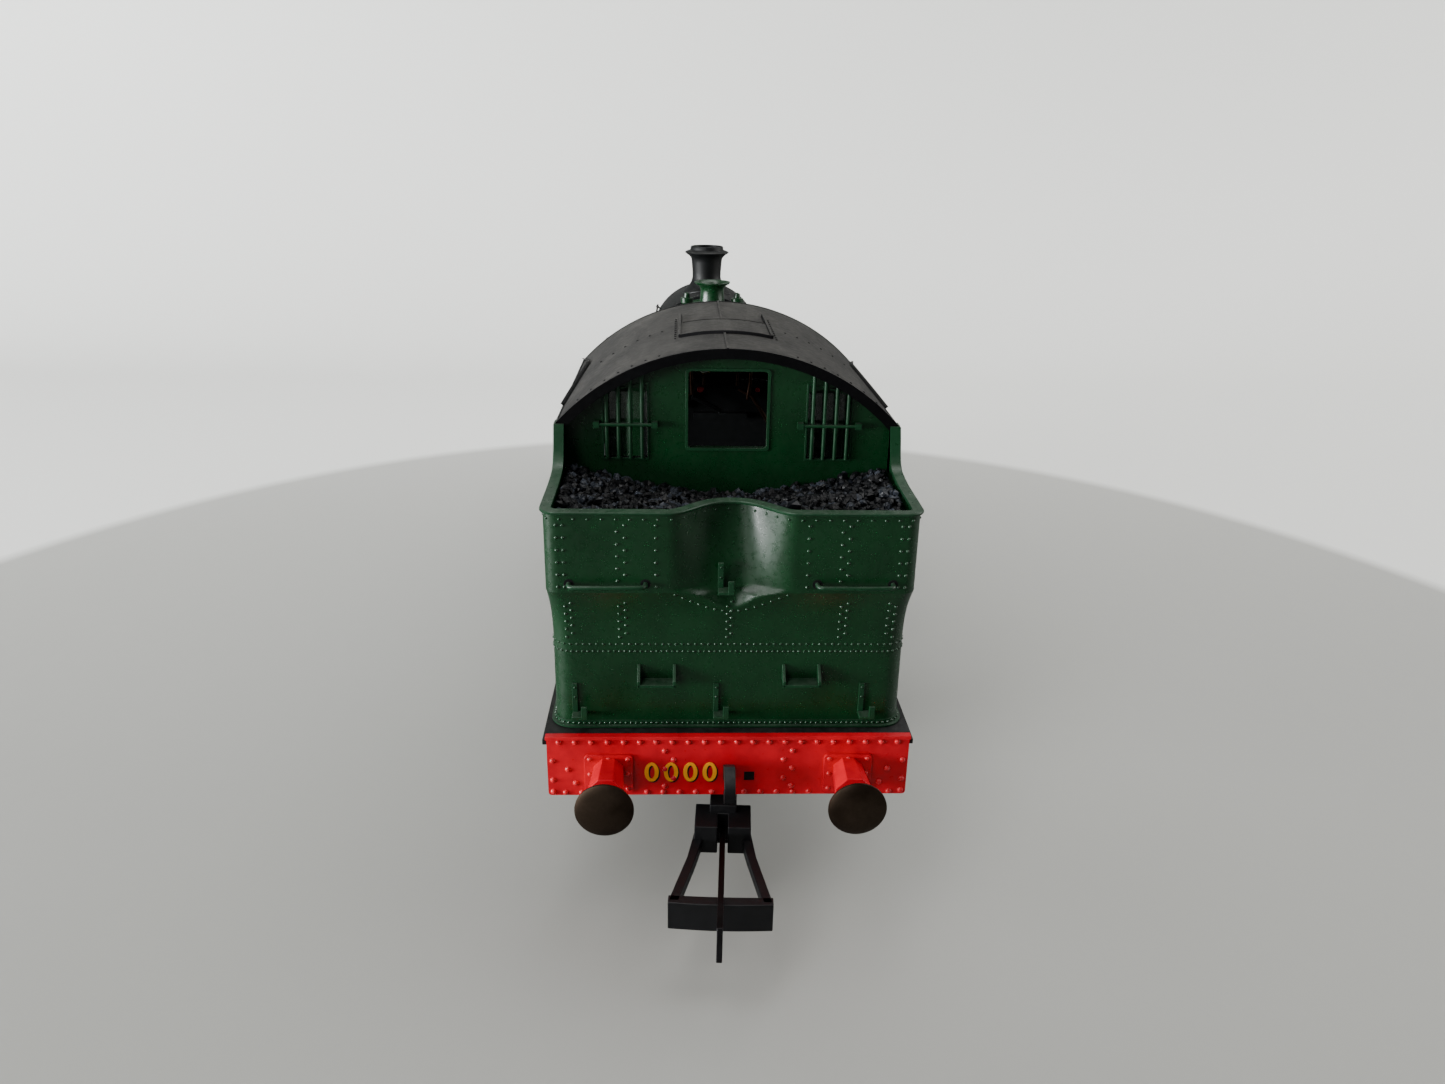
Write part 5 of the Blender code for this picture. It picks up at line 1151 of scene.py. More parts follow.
def coupling(name, end):
    """The swinging loop, its arms and head, and the lifting hook on its pin."""
    swing = -3.0 if end < 0 else 0.0
    reach, pin_x, pin_z = 20.0, 9.9, 6.95
    shape = Shape()
    bow = [(reach - 1.25 + 0.12 * math.cos(y / 4.7 * 1.5), y) for y in [-4.65 + 0.93 * i for i in range(11)]]
    front = [(reach - 0.22 + 0.22 * math.cos(y / 4.7 * 1.5), y) for y in [4.65 - 0.93 * i for i in range(11)]]
    shape.prism([(end * x, y) for x, y in bow + front], "Z", 4.75, 7.6)
    for side in SIDES.values():
        arm = [(reach - 0.5, 4.62), (reach - 0.5, 3.75), (pin_x + 3.2, 2.35), (pin_x - 1.0, 1.6), (pin_x - 1.0, 2.65), (pin_x + 3.2, 3.2)]
        shape.prism([(end * x, side * y) for x, y in arm], "Z", 6.55, 7.6)
        web = [(reach - 0.6, 4.6), (reach - 0.6, 4.2), (pin_x + 0.2, 2.3), (pin_x + 0.2, 2.6)]
        shape.prism([(end * x, side * y) for x, y in web], "Z", 5.9, 7.2)
        y0, y1 = both(side, 0.5, 2.7)
        x0, x1 = sorted((end * (pin_x - 3.0), end * (pin_x + 0.8)))
        shape.box((x0, y0, 6.05), (x1, y1, 9.0))
    x0, x1 = sorted((end * (pin_x - 3.0), end * (pin_x - 1.45)))
    shape.box((x0, -0.7, 6.05), (x1, 0.7, 9.0))
    x0, x1 = sorted((-end * 1.2, end * (pin_x - 1.6)))
    shape.box((x0, -1.3, 8.0), (x1, 1.3, 9.8))
    shape.rod((0, 0, 9.6), (0, 0, 14.6), 0.8, 20)
    shape.rod((end * pin_x, -1.4, pin_z), (end * pin_x, 1.4, pin_z), 0.25, 12)
    hung(shape, end, swing)
    show(f"loop_{name}", shape, f"coupling_{name}", PLASTIC, bevel=0.09, replaces=(f"coupling_{name}",))
    lift = reach + 5.7 - pin_x
    outline = [(-1.0, -0.5), (-0.4, -0.95), (0.7, -1.0), (1.15, -4.9), (1.7, -5.0), (2.0, -0.5), (2.8, 1.0)]
    outline += [(lift - 3.3, 1.0), (lift - 3.4, -0.5), (lift - 1.8, -1.1), (lift, -0.5), (lift - 1.6, 1.7)]
    outline += [(2.0, 1.7), (0.6, 1.25), (-0.4, 0.75), (-1.0, 0.3)]
    hook = Shape()
    eye = [(end * (pin_x + a), pin_z + b) for a, b in ring(0, 0, 0.31, 12)]
    hook.prism([(end * (pin_x + x), pin_z + z) for x, z in outline], "Y", -0.26, 0.26, holes=[eye[::-1]])
    hung(hook, end, swing)
    node = f"coupling_hook_{name}"
    show(f"lifting_{node}", hook, node, DARK_HOOK, bevel=0.07, replaces=(node,))


# ---------------------------------------------------------------- footplate


def footplate_line(offset, steps=10):
    """The footplate's side view at a depth below its top, with its curved drops."""
    low, high = LOW_PLATE - offset, HIGH_PLATE - offset
    radius = (HIGH_PLATE - LOW_PLATE) / 2
    inner, outer = radius + offset, radius - offset
    rear, front = REAR + 18.5, FRONT - 19.0
    points = arc(rear, low + inner, inner, -90, 0, steps)
    points += arc(rear + 2 * radius, high - outer, outer, 180, 90, steps)
    points += arc(front, high - outer, outer, 90, 0, steps)
    points += arc(front + 2 * radius, low + inner, inner, 180, 270, steps)
    return [(REAR + 0.5, low)] + points + [(FRONT - 0.5, low)]


def clipped(points, x0, x1):
    """The part of a side view line between two X positions."""
    inside = [p for p in points if x0 < p[0] < x1]

    def height(x):
        for (xa, za), (xb, zb) in zip(points, points[1:]):
            if xa <= x <= xb:
                return za + (zb - za) * (x - xa) / max(xb - xa, 1e-6)
        return points[-1][1]

    return [(x0, height(x0))] + inside + [(x1, height(x1))]


def footplate():
    shape = Shape()
    top, under = footplate_line(0.0), footplate_line(0.5)
    slot = (REAR + 26.0, FRONT - 26.0)
    for side in SIDES.values():
        shape.prism(top + under[::-1], "Y", *both(side, 6.2, PLATE_HALF))
    for x0, x1 in ((REAR + 0.5, slot[0]), (slot[1], FRONT - 0.5)):
        strip = clipped(top, x0, x1) + clipped(under, x0, x1)[::-1]
        shape.prism(strip, "Y", -6.2, 6.2)
    show("footplate", shape, "engine", BLACK, bevel=0.06, replaces=("running_plate",))
    edge = Shape()
    trim = REAR + BEAM_THICK + 0.2, FRONT - BEAM_THICK - 0.2
    upper = clipped(footplate_line(0.3), *trim)
    lower = [(x, z - 1.35) for x, z in upper]
    for side in SIDES.values():
        edge.prism(upper + lower[::-1], "Y", *both(side, PLATE_HALF - 0.75, PLATE_HALF - 0.3))
    show("valances", edge, "engine", BLACK, bevel=0.05)
    rivets = Shape()
    for side in SIDES.values():
        points = []
        for (xa, za), (xb, zb) in zip(lower, lower[1:]):
            if xb - xa > 4:
                points += row((xa + 0.8, side * (PLATE_HALF - 0.3), za + 0.5), (xb - 0.8, side * (PLATE_HALF - 0.3), zb + 0.5), 1.5)
        rivets.rivets(points, Vector((0, side, 0)), 0.12, 0.08)
    for x in (REAR + 1.6, FRONT - 1.4):
        rivets.rivets(row((x, -16.9, LOW_PLATE), (x, 16.9, LOW_PLATE), 1.1), Vector((0, 0, 1)), 0.12, 0.08)
    show("footplate_rivets", rivets, "engine", BLACK, smooth=60)


def footsteps():
    """Hanging steps with two treads each, below the cab and at the front."""
    shape = Shape()
    for side in SIDES.values():
        for x, top, depth in ((REAR + 30.0, HIGH_PLATE - 0.3, 12.5), (FRONT - 13.0, LOW_PLATE - 0.3, 8.5)):
            hanger = [(x - 1.2, top), (x - 1.9, top - depth / 2), (x - 1.9, top - depth), (x + 1.9, top - depth)]
            hanger += [(x + 1.9, top - depth / 2), (x + 1.2, top)]
            shape.prism(hanger, "Y", *both(side, PLATE_HALF - 2.6, PLATE_HALF - 2.2))
            for fall in (depth - 0.2, depth / 2):
                z = top - fall
                y0, y1 = both(side, PLATE_HALF - 2.3, PLATE_HALF - 0.3)
                shape.box((x - 1.9, y0, z - 0.2), (x + 1.9, y1, z + 0.15))
                for edge in (x - 1.9, x + 1.6):
                    shape.box((edge, y0, z), (edge + 0.3, y1, z + 0.55))
                lip0, lip1 = both(side, PLATE_HALF - 0.5, PLATE_HALF - 0.3)
                shape.box((x - 1.9, lip0, z), (x + 1.9, lip1, z + 0.4))
    show("footsteps", shape, "engine", BLACK, bevel=0.05)


def brake_gear():
    """Hangers, shoes and pull rods beside the coupled wheels, on the keeper's cross beams."""
    hangers, shoes = Shape(), Shape()
    for number in (1, 2, 3):
        axle = AXLES[number]
        x = axle.x - 10.9
        for side in SIDES.values():
            y0, y1 = both(side, 8.3, 9.0)
            hanger = [(x - 0.3, 5.2), (x + 0.3, 5.2), (x + 0.45, 13.6), (x - 0.15, 13.6)]
            hangers.prism(hanger, "Y", y0 + 0.15, y1 - 0.15)
            block = arc(axle.x, axle.z, WHEEL_R + 0.28, 202, 167, 7)
            back = [(px - 0.55, pz) for px, pz in block[::-1]]
            shoes.prism(block + back, "Y", y0 - 0.2, y1 + 0.2)
        for side in SIDES.values():
            hangers.rod((x, side * 9.0, 4.95), (x, side * 9.4, 4.95), 0.35, 10)
    for side in SIDES.values():
        y0, y1 = both(side, 5.0, 5.5)
        hangers.box((AXLES[3].x - 11, y0, 4.4), (AXLES[1].x - 10.4, y1, 4.9))
    show("brake_hangers", hangers, "engine", BLACK, bevel=0.04)
    show("brake_shoes", shoes, "engine", BLACK, bevel=0.04)


# ---------------------------------------------------------------- boiler and tanks


def boiler():
    """Tapered barrel, square-shouldered firebox and their bands."""
    fire = (REAR + 41.0, REAR + 67.0)
    front = span("smokebox")[0].x - 0.06
    shape = Shape()
    profile = [(9.4, fire[1] - 1), (11.0, fire[1] - 1), (11.0, fire[1] + 14), (10.0, front), (9.2, front)]
    shape.lathe(profile, (1, 0, 0), (0, 0, BOILER_Z), 72, closed=True)
    half, top, shoulder = 11.4, 44.1, 4.5
    outline = [(-half, 24.1), (half, 24.1)] + arc(half - shoulder, top - shoulder, shoulder, 0, 78, 10)
    outline += arc(shoulder - half, top - shoulder, shoulder, 102, 180, 10)
    shape.prism(outline, "X", *fire)
    show("boiler_barrel", shape, "engine", GREEN, bevel=0.12, replaces=("boiler",))
    bands = Shape()
    for x in (fire[1] + 0.8, fire[1] + 14.5, fire[1] + 29.0, front - 0.9):
        radius = 11.0 - max(0.0, (x - fire[1] - 14) / (front - fire[1] - 14)) + 0.02
        flat = [(radius - 0.3, -0.45), (radius + 0.1, -0.45), (radius + 0.1, 0.45), (radius - 0.3, 0.45)]
        bands.lathe(flat, (1, 0, 0), (x, 0, BOILER_Z), 72, closed=True)
    for x in (fire[0] + 6.0, fire[1] - 1.2):
        grown = [(u * 1.009, v + 0.1) for u, v in outline]
        bands.prism(grown, "X", x - 0.4, x + 0.4)
    show("boiler_bands", bands, "engine", GREEN, bevel=0.03)


def boiler_fittings():
    plugs, pipes, clacks = Shape(), Shape(), Shape()
    for side in SIDES.values():
        for i in range(4):
            x = REAR + 46 + 5.6 * i
            angle = math.radians(52)
            y, z = 11.4 - 4.5 + 4.5 * math.cos(angle), 44.1 - 4.5 + 4.5 * math.sin(angle)
            out = Vector((0, side * math.cos(angle), math.sin(angle)))
            plugs.lathe([(0, 0.35), (0.3, 0.35), (0.35, 0.12), (0.6, 0.1), (0.6, -0.1), (0, -0.1)], out, (x, side * y, z), 14)
        clack = [(0, 7.1), (0.42, 6.9), (0.5, 6.3), (0.95, 6.2), (0.95, 5.5), (0.7, 5.2), (0.7, 3.6), (1.05, 3.2), (1.05, 0), (0, 0)]
        clacks.lathe([(r, z) for r, z in clack][::-1], (0, 0, 1), (VALVE_X, side * 3.9, 41.0), 24)
        start = (VALVE_X, side * 4.6, 45.2)
        bend = [(VALVE_X, side * (11.3 * math.sin(math.radians(a))), BOILER_Z + 11.5 * math.cos(math.radians(a))) for a in (32, 45, 60, 75, 88)]
        pipes.tube([start, (VALVE_X, side * 5.6, 44.2), *bend], 0.55, 12)
    show("washout_plugs", plugs, "engine", BRASS, smooth=40)
    show("top_feed_valves", clacks, "engine", GREEN, smooth=35)
    show("top_feed_pipes", pipes, "engine", GREEN, smooth=50)


def bonnet():
    top = 49.7
    outer = [(2.9, 43.2), (2.85, 43.9), (2.6, 44.5), (2.3, 45.1), (2.1, 45.8), (1.95, 46.6), (1.83, 47.6)]
    outer += [(1.78, 48.3), (1.85, 48.75), (2.1, 49.1), (2.5, 49.32), (2.72, top - 0.22), (2.78, top - 0.08)]
    outer += [(2.72, top), (2.5, top - 0.03)]
    inner = [(2.1, top - 0.4), (1.7, top - 0.9), (1.6, top - 1.6), (0, top - 1.6)]
    shape = Shape().lathe([(0, 43.2)] + outer + inner, (0, 0, 1), (VALVE_X, 0, 0), 56)
    show("valve_bonnet", shape, "engine", GREEN, smooth=40, replaces=("safety_valve_bonnet",))
    valves = Shape()
    for side in SIDES.values():
        valves.lathe([(0, 0.9), (0.3, 0.9), (0.55, 0.4), (0.6, -0.2), (0, -0.2)], (0, 0, 1), (VALVE_X, side * 0.8, top - 1.6), 16)
    show("valve_tops", valves, "engine", BRASS, smooth=40)


def smokebox():
    low, high = span("smokebox")
    radius = 10.6
    shape = Shape()
    profile = [(9.2, low.x), (radius - 0.05, low.x), (radius, low.x + 0.1), (radius, high.x), (9.6, high.x)]
    shape.lathe(profile, (1, 0, 0), (0, 0, BOILER_Z), 80, closed=True)
    saddle = [(-7.6, HIGH_PLATE + 0.06), (7.6, HIGH_PLATE + 0.06)]
    saddle += arc(10.2, 24.4, 3.6, 258, 188, 8) + [(6.3, 24.6), (-6.3, 24.6)]
    saddle += [(-u, v) for u, v in arc(10.2, 24.4, 3.6, 258, 188, 8)[::-1]]
    shape.prism(saddle, "X", low.x + 2.0, high.x - 3.0)
    show("smokebox_wrapper", shape, "engine", SMOKEBOX_BLACK, bevel=0.06, replaces=("smokebox",))
    rivets = Shape()
    for x in (low.x + 0.6, low.x + 1.3, high.x - 0.6, high.x - 1.3):
        for i in range(64):
            angle = math.radians(360 * i / 64)
            out = Vector((0, math.sin(angle), math.cos(angle)))
            if out.z > -0.75:
                rivets.rivets([Vector((x, 0, BOILER_Z)) + out * radius], out, 0.13, 0.08)
    show("smokebox_rivets", rivets, "engine", SMOKEBOX_BLACK, smooth=60)


def smokebox_front():
    x = span("smokebox_door")[0].x
    radius = 10.6
    shape = Shape()
    ring_profile = [(0, x), (radius, x), (radius, x + 0.35), (radius - 0.2, x + 0.5), (8.9, x + 0.5), (8.9, x + 0.3), (0, x + 0.3)]
    shape.lathe(ring_profile, (1, 0, 0), (0, 0, BOILER_Z), 80)
    dome = [(0, x + 0.2), (8.25, x + 0.2), (8.3, x + 0.5), (8.0, x + 0.72), (7.0, x + 0.98), (5.5, x + 1.28), (3.5, x + 1.52), (1.6, x + 1.66), (0, x + 1.7)]
    shape.lathe(dome, (1, 0, 0), (0, 0, BOILER_Z), 80)
    for z in (2.3, -2.3):
        path = [(x + 0.95, -8.9, BOILER_Z + z), (x + 1.1, -7.4, BOILER_Z + z), (x + 1.45, -4.6, BOILER_Z + z), (x + 1.72, -1.2, BOILER_Z + z)]
        shape.strip(path, [Vector((1, 0, 0))] * 4, [(-0.3, -0.4), (0.14, -0.4), (0.14, 0.4), (-0.3, 0.4)])
        shape.rod((x + 0.9, -8.9, BOILER_Z + z - 0.6), (x + 0.9, -8.9, BOILER_Z + z + 0.6), 0.4, 12)
    shape.rod((x + 0.9, -8.9, BOILER_Z - 3.2), (x + 0.9, -8.9, BOILER_Z + 3.2), 0.2, 10)
    lamp_x = x + 0.3
    shape.box((lamp_x, -0.5, BOILER_Z + 9.2), (lamp_x + 0.3, 0.5, BOILER_Z + 10.9))
    shape.box((lamp_x, -0.5, BOILER_Z + 9.1), (lamp_x + 1.1, 0.5, BOILER_Z + 9.4))
    show("smokebox_front", shape, "engine", SMOKEBOX_BLACK, bevel=0.05, replaces=("smokebox_door",))
    dart = Shape()
    dart.lathe([(0, 0), (0.75, 0), (0.75, 0.3), (0.35, 0.5), (0.35, 1.0), (0, 1.0)], (1, 0, 0), (x + 1.55, 0, BOILER_Z), 20)
    dart.tube([(x + 2.2, 0, BOILER_Z), (x + 2.3, 0.6, BOILER_Z - 2.7)], 0.19, 10)
    dart.tube([(x + 2.0, 0, BOILER_Z), (x + 2.05, -2.4, BOILER_Z - 0.7)], 0.19, 10)
    show("door_dart", dart, "engine", STEEL, smooth=40)
    bolts = Shape()
    for i in range(40):
        angle = math.radians(9 * i)
        at = (x + 0.5, 9.7 * math.sin(angle), BOILER_Z + 9.7 * math.cos(angle))
        bolts.rivets([at], Vector((1, 0, 0)), 0.14, 0.1)
    show("door_bolts", bolts, "engine", SMOKEBOX_BLACK, smooth=60)


def chimney():
    top = 51.3
    outer = [(4.6, 42.2), (4.45, 42.9), (3.9, 43.5), (3.3, 44.1), (2.9, 44.8), (2.7, 45.6), (2.72, 46.6)]
    outer += [(2.86, 48.4), (2.95, 49.0), (3.12, 49.3), (3.4, 49.6), (3.9, 49.95), (4.14, 50.12), (4.16, 50.22)]
    outer += [(4.0, 50.34), (3.6, 50.5), (3.2, 50.62), (3.12, 50.85), (3.1, 51.1), (3.0, top), (2.75, top)]
    inner = [(2.5, 49.6), (2.35, 45.0), (2.35, 43.0), (0, 43.0)]
    skirt = Shape().lathe([(0, 42.2)] + outer + inner, (0, 0, 1), (CHIMNEY_X, 0, 0), 64)
    show("chimney_stack", skirt, "engine", SMOKEBOX_BLACK, smooth=35, replaces=("chimney",))
    flange = Shape()
    loops = []
    for radius, lift in ((2.9, 0.0), (2.9, 0.9), (4.2, 0.28), (4.75, 0.14), (4.8, -0.3)):
        loop = []
        for u, v in ring(0, 0, radius, 48):
            z = BOILER_Z + math.sqrt(max(0.0, (10.6 + lift) ** 2 - v * v))
            loop.append((CHIMNEY_X + u, v, z))
        loops.append(loop)
    flange.loft(loops)
    show("chimney_base", flange, "engine", SMOKEBOX_BLACK, smooth=50)


TANK_TOP = 39.0


def tanks():
    low, high = span("side_tank_left")
    x0, x1, y_in, y_out = low.x, high.x, low.y, high.y
    slope = x1 - 17.0
    for name, side in SIDES.items():
        outline = [(x0, HIGH_PLATE + 0.06), (x1, HIGH_PLATE + 0.06), (x1, 31.5), (slope, TANK_TOP), (x0, TANK_TOP)]
        shape = Shape().prism(outline, "Y", *both(side, y_in, y_out))
        show(f"tank_{name}", shape, "engine", GREEN, bevel=0.28, replaces=(f"side_tank_{name}",))
        edge, rivets, fittings = Shape(), Shape(), Shape()
        y = side * y_out
        rim = [(x0, y, TANK_TOP), (slope - 0.2, y, TANK_TOP), (slope + 0.2, y, TANK_TOP - 0.08), (x1 - 0.1, y, 31.55)]
        edge.strip([Vector(p) for p in rim], [Vector((0, side, 0))] * 4, [(-0.2, -0.22), (0.12, -0.22), (0.16, 0), (0.12, 0.22), (-0.2, 0.22)])
        base = [(x0, y, HIGH_PLATE + 0.3), (x1, y, HIGH_PLATE + 0.3)]
        edge.strip([Vector(p) for p in base], [Vector((0, side, 0))] * 2, [(-0.1, -0.2), (0.16, -0.2), (0.16, 0.25), (-0.1, 0.25)])
        show(f"tank_edges_{name}", edge, "engine", GREEN, smooth=40)
        out = Vector((0, side, 0))
        for z in (HIGH_PLATE + 0.85, 37.9):
            end_x = x1 - 0.8 if z < 30 else slope - 0.5
            rivets.rivets(row((x0 + 0.6, y, z), (end_x, y, z), 0.72), out, 0.14, 0.11)
        slant = row((slope, y, 37.9), (x1 - 1.0, y, 31.0), 0.72)
        rivets.rivets(slant[1:], out, 0.14, 0.11)
        for x in (x0 + 0.7, x0 + 14.6, x0 + 15.3, x0 + 29.6, x0 + 30.3, slope - 0.6, slope + 0.1, x1 - 0.8):
            top = min(37.2, 37.2 + (31.0 - 37.9) * (x - slope) / 17.0 if x > slope else 37.2)
            rivets.rivets(row((x, y, HIGH_PLATE + 1.6), (x, y, top), 0.9), out, 0.14, 0.11)
        show(f"tank_rivets_{name}", rivets, "engine", GLINT_RIVET_GREEN, smooth=60)
        tank_fittings(name, side, fittings, x0, slope, y_in)


def tank_fittings(name, side, shape, x0, slope, y_in):
    """Filler lid with hinge and clamp, vent and lifting eyes."""
    y = side * (y_in + 2.9)
    x = x0 + 16.0
    lid = [(0, TANK_TOP - 0.1), (1.75, TANK_TOP - 0.1), (1.75, TANK_TOP + 0.7), (1.95, TANK_TOP + 0.75), (1.95, TANK_TOP + 0.98)]
    lid += [(1.5, TANK_TOP + 1.2), (0, TANK_TOP + 1.35)]
    shape.lathe(lid, (0, 0, 1), (x, y, 0), 36)
    shape.box((x - 2.5, y - 0.35, TANK_TOP - 0.1), (x - 1.7, y + 0.35, TANK_TOP + 1.15))
    shape.box((x - 2.0, y - 0.2, TANK_TOP + 1.1), (x + 2.2, y + 0.2, TANK_TOP + 1.45))
    vent_x = slope - 4.0
    vent = [(0, TANK_TOP - 0.1), (0.75, TANK_TOP - 0.1), (0.75, TANK_TOP + 1.0), (1.0, TANK_TOP + 1.1), (0.95, TANK_TOP + 1.5), (0, TANK_TOP + 1.75)]
    shape.lathe(vent, (0, 0, 1), (vent_x, y, 0), 24)
    for lug in (x0 + 5.0, x0 + 34.0):
        loop = arc(lug, TANK_TOP + 0.1, 0.75, 0, 180, 8)
        shape.prism(loop, "Y", y - 0.18, y + 0.18, holes=[ring(lug, TANK_TOP + 0.42, 0.22, 8)[::-1]])
    show(f"tank_fittings_{name}", shape, "engine", GREEN, bevel=0.04)


def boiler_rails():
    """Handrails on knobs along the smokebox and over its front."""
    shape = Shape()
    front = span("smokebox_door")[0].x + 0.2
    reach = 11.3
    angle = math.radians(58)
    points = {s: (s * reach * math.sin(angle), BOILER_Z + reach * math.cos(angle)) for s in (1, -1)}
    for side in SIDES.values():
        y, z = points[side]
        shape.tube([(span("smokebox")[0].x - 16, y, z), (front - 0.6, y, z)], 0.18, 8)
        for x in (span("smokebox")[0].x - 15.5, span("smokebox")[0].x - 6.0, front - 14.0, front - 3.0):
            centre = Vector((x, 0, BOILER_Z))
            out = Vector((0, y, z - BOILER_Z)).normalized()
            shape.rod(centre + out * 9.9, centre + out * reach, 0.15, 8)
            shape.ball((x, y, z), 0.32)
    bow = []
    for i in range(15):
        a = angle - 2 * angle * i / 14
        bow.append((front + 0.9, 8.6 * math.sin(a), BOILER_Z + 9.3 * math.cos(a)))
    shape.tube(bow, 0.18, 8)
    for y in (bow[0][1], bow[-1][1]):
        shape.tube([(front + 0.2, y, bow[0][2]), (front + 0.95, y, bow[0][2])], 0.2, 8)
    show("smokebox_handrail", shape, "engine", SMOKEBOX_BLACK, smooth=50)


def steam_pipes():
    shape = Shape()
    x = CHIMNEY_X
    for side in SIDES.values():
        path = [(x, side * 9.6, 34.0), (x, side * 11.4, 32.6), (x, side * 12.3, 30.0), (x, side * 12.5, 26.0), (x, side * 12.5, HIGH_PLATE)]
        shape.tube(path, 1.35, 20)
        shape.lathe([(0, 0), (2.0, 0), (2.0, 0.4), (0, 0.4)], (0, 0, 1), (x, side * 12.5, HIGH_PLATE), 24)
        for i in range(6):
            a = math.radians(60 * i + 30)
            shape.rivets([(x + 1.7 * math.cos(a), side * 12.5 + 1.7 * math.sin(a), HIGH_PLATE + 0.4)], Vector((0, 0, 1)), 0.17, 0.15)
    show("steam_pipes", shape, "engine", SMOKEBOX_BLACK, smooth=40)


def front_platform():
    """Lamp irons, the curved stays and the step in front of the smokebox."""
    shape = Shape()
    for y in (13.5, 0.0, -13.5):
        shape.box((FRONT - 0.5, y - 0.35, LOW_PLATE), (FRONT - 0.2, y + 0.35, LOW_PLATE + 2.4))
        shape.box((FRONT - 0.5, y - 0.35, LOW_PLATE), (FRONT + 0.6, y + 0.35, LOW_PLATE + 0.3))
    for side in SIDES.values():
        path = [(FRONT - 1.5, side * 5.5, LOW_PLATE), (FRONT - 6.0, side * 5.4, 20.5), (span("smokebox")[1].x + 0.2, side * 5.2, 26.0)]
        shape.tube(path, 0.4, 12)
        shape.box((FRONT - 2.4, side * 5.5 - 0.8, LOW_PLATE), (FRONT - 0.8, side * 5.5 + 0.8, LOW_PLATE + 0.4))
    shape.box((span("smokebox")[1].x - 2.6, -8.0, HIGH_PLATE - 0.1), (FRONT - 15.2, 8.0, HIGH_PLATE + 1.3))
    show("front_fittings", shape, "engine", BLACK, bevel=0.06)


# ---------------------------------------------------------------- running gear

WHEEL_R = 9.25
BACK = 7.25
TREAD = 2.8


def wheel(number, side_name, side):
    """A flanged steel tyre on a spoked centre with its hub, crank and balance weight."""
    at = Vector((AXLES[number].x, 0, AXLES[number].z))
    axis = (0, side, 0)
    tyre = Shape()
    inner = 8.15
    profile = [(inner, BACK), (WHEEL_R + 0.7, BACK), (WHEEL_R + 0.88, BACK + 0.12), (WHEEL_R + 0.88, BACK + 0.34)]
    profile += [(WHEEL_R + 0.6, BACK + 0.56), (WHEEL_R + 0.12, BACK + 0.78), (WHEEL_R + 0.02, BACK + 1.0)]
    profile += [(WHEEL_R - 0.08, BACK + TREAD - 0.1), (WHEEL_R - 0.18, BACK + TREAD), (inner, BACK + TREAD)]
    tyre.lathe(profile, axis, at, 96, closed=True)
    body = f"wheelset_{number}"
    name = f"{number}_{side_name}"
    show(f"tyre_{name}", tyre, body, TYRE, smooth=30)
    centre = Shape()
    rim = [(7.45, BACK + 0.35), (8.2, BACK + 0.25), (8.2, BACK + TREAD - 0.12), (8.0, BACK + TREAD - 0.08), (7.5, BACK + TREAD - 0.45)]
    centre.lathe(rim, axis, at, 96, closed=True)
    hub = [(1.5, BACK), (2.3, BACK), (2.45, BACK + 0.5), (2.3, BACK + TREAD - 0.35), (2.0, BACK + TREAD - 0.12), (1.5, BACK + TREAD - 0.12)]
    centre.lathe(hub, axis, at, 40, closed=True)
    crank = math.radians(CRANK_ANGLE[side])
    for i in range(16):
        spoke(centre, at, side, crank + 2 * math.pi * i / 16)
    pin = at + Vector((CRANK * math.cos(crank), 0, CRANK * math.sin(crank)))
    boss = arc(pin.x, pin.z, 1.6, math.degrees(crank) - 78, math.degrees(crank) + 78, 10)
    boss += arc(at.x, at.z, 2.4, math.degrees(crank) + 78, math.degrees(crank) + 282, 12)
    bore = ring(at.x, at.z, 1.5, 32)[::-1]
    centre.prism(boss, "Y", *both(side, BACK + 1.6, BACK + TREAD - 0.15), holes=[bore])
    balance(centre, at, side, crank + math.pi, number)
    show(f"spokes_{name}", centre, body, WHEEL_GREEN, bevel=0.05, replaces=(f"wheel_{number}_{side_name}",))
    stud = Shape()
    reach = 12.35 if number == 3 else 11.4
    profile = [(0, BACK + 1.9), (0.75, BACK + 1.9), (0.75, reach - 0.1), (0.65, reach), (0.3, reach), (0.3, reach - 0.12), (0, reach - 0.12)]
    stud.lathe(profile, axis, Vector((pin.x, 0, pin.z)), 20)
    show(f"crank_pin_{name}", stud, body, STEEL, smooth=40)


def spoke(shape, at, side, angle):
    """A spoke of rounded section that widens from rim to hub."""
    along = Vector((math.cos(angle), 0, math.sin(angle)))
    across = Vector((-math.sin(angle), 0, math.cos(angle)))
    rings = []
    for radius, half, near, far in ((2.1, 0.46, 0.75, 2.35), (4.5, 0.38, 0.8, 2.2), (7.7, 0.33, 0.9, 2.05)):
        centre_y = BACK + (near + far) / 2
        depth = (far - near) / 2
        section = [(half * math.cos(a), depth * math.sin(a)) for a in [math.radians(36 * i) for i in range(10)]]
        rings.append([at + along * radius + across * u + Vector((0, side * (centre_y + v), 0)) for u, v in section])
    shape.loft(rings)


def balance(shape, at, side, angle, number):
    """A crescent balance weight opposite the crank."""
    reach = 42 if number == 3 else 30
    middle_angle = math.degrees(angle)
    outer = arc(at.x, at.z, 7.9, middle_angle - reach, middle_angle + reach, 14)
    inner = arc(at.x, at.z, 5.6 if number == 3 else 6.2, middle_angle + reach * 0.8, middle_angle - reach * 0.8, 12)
    shape.prism(outer + inner, "Y", *both(side, BACK + 1.3, BACK + TREAD - 0.35))


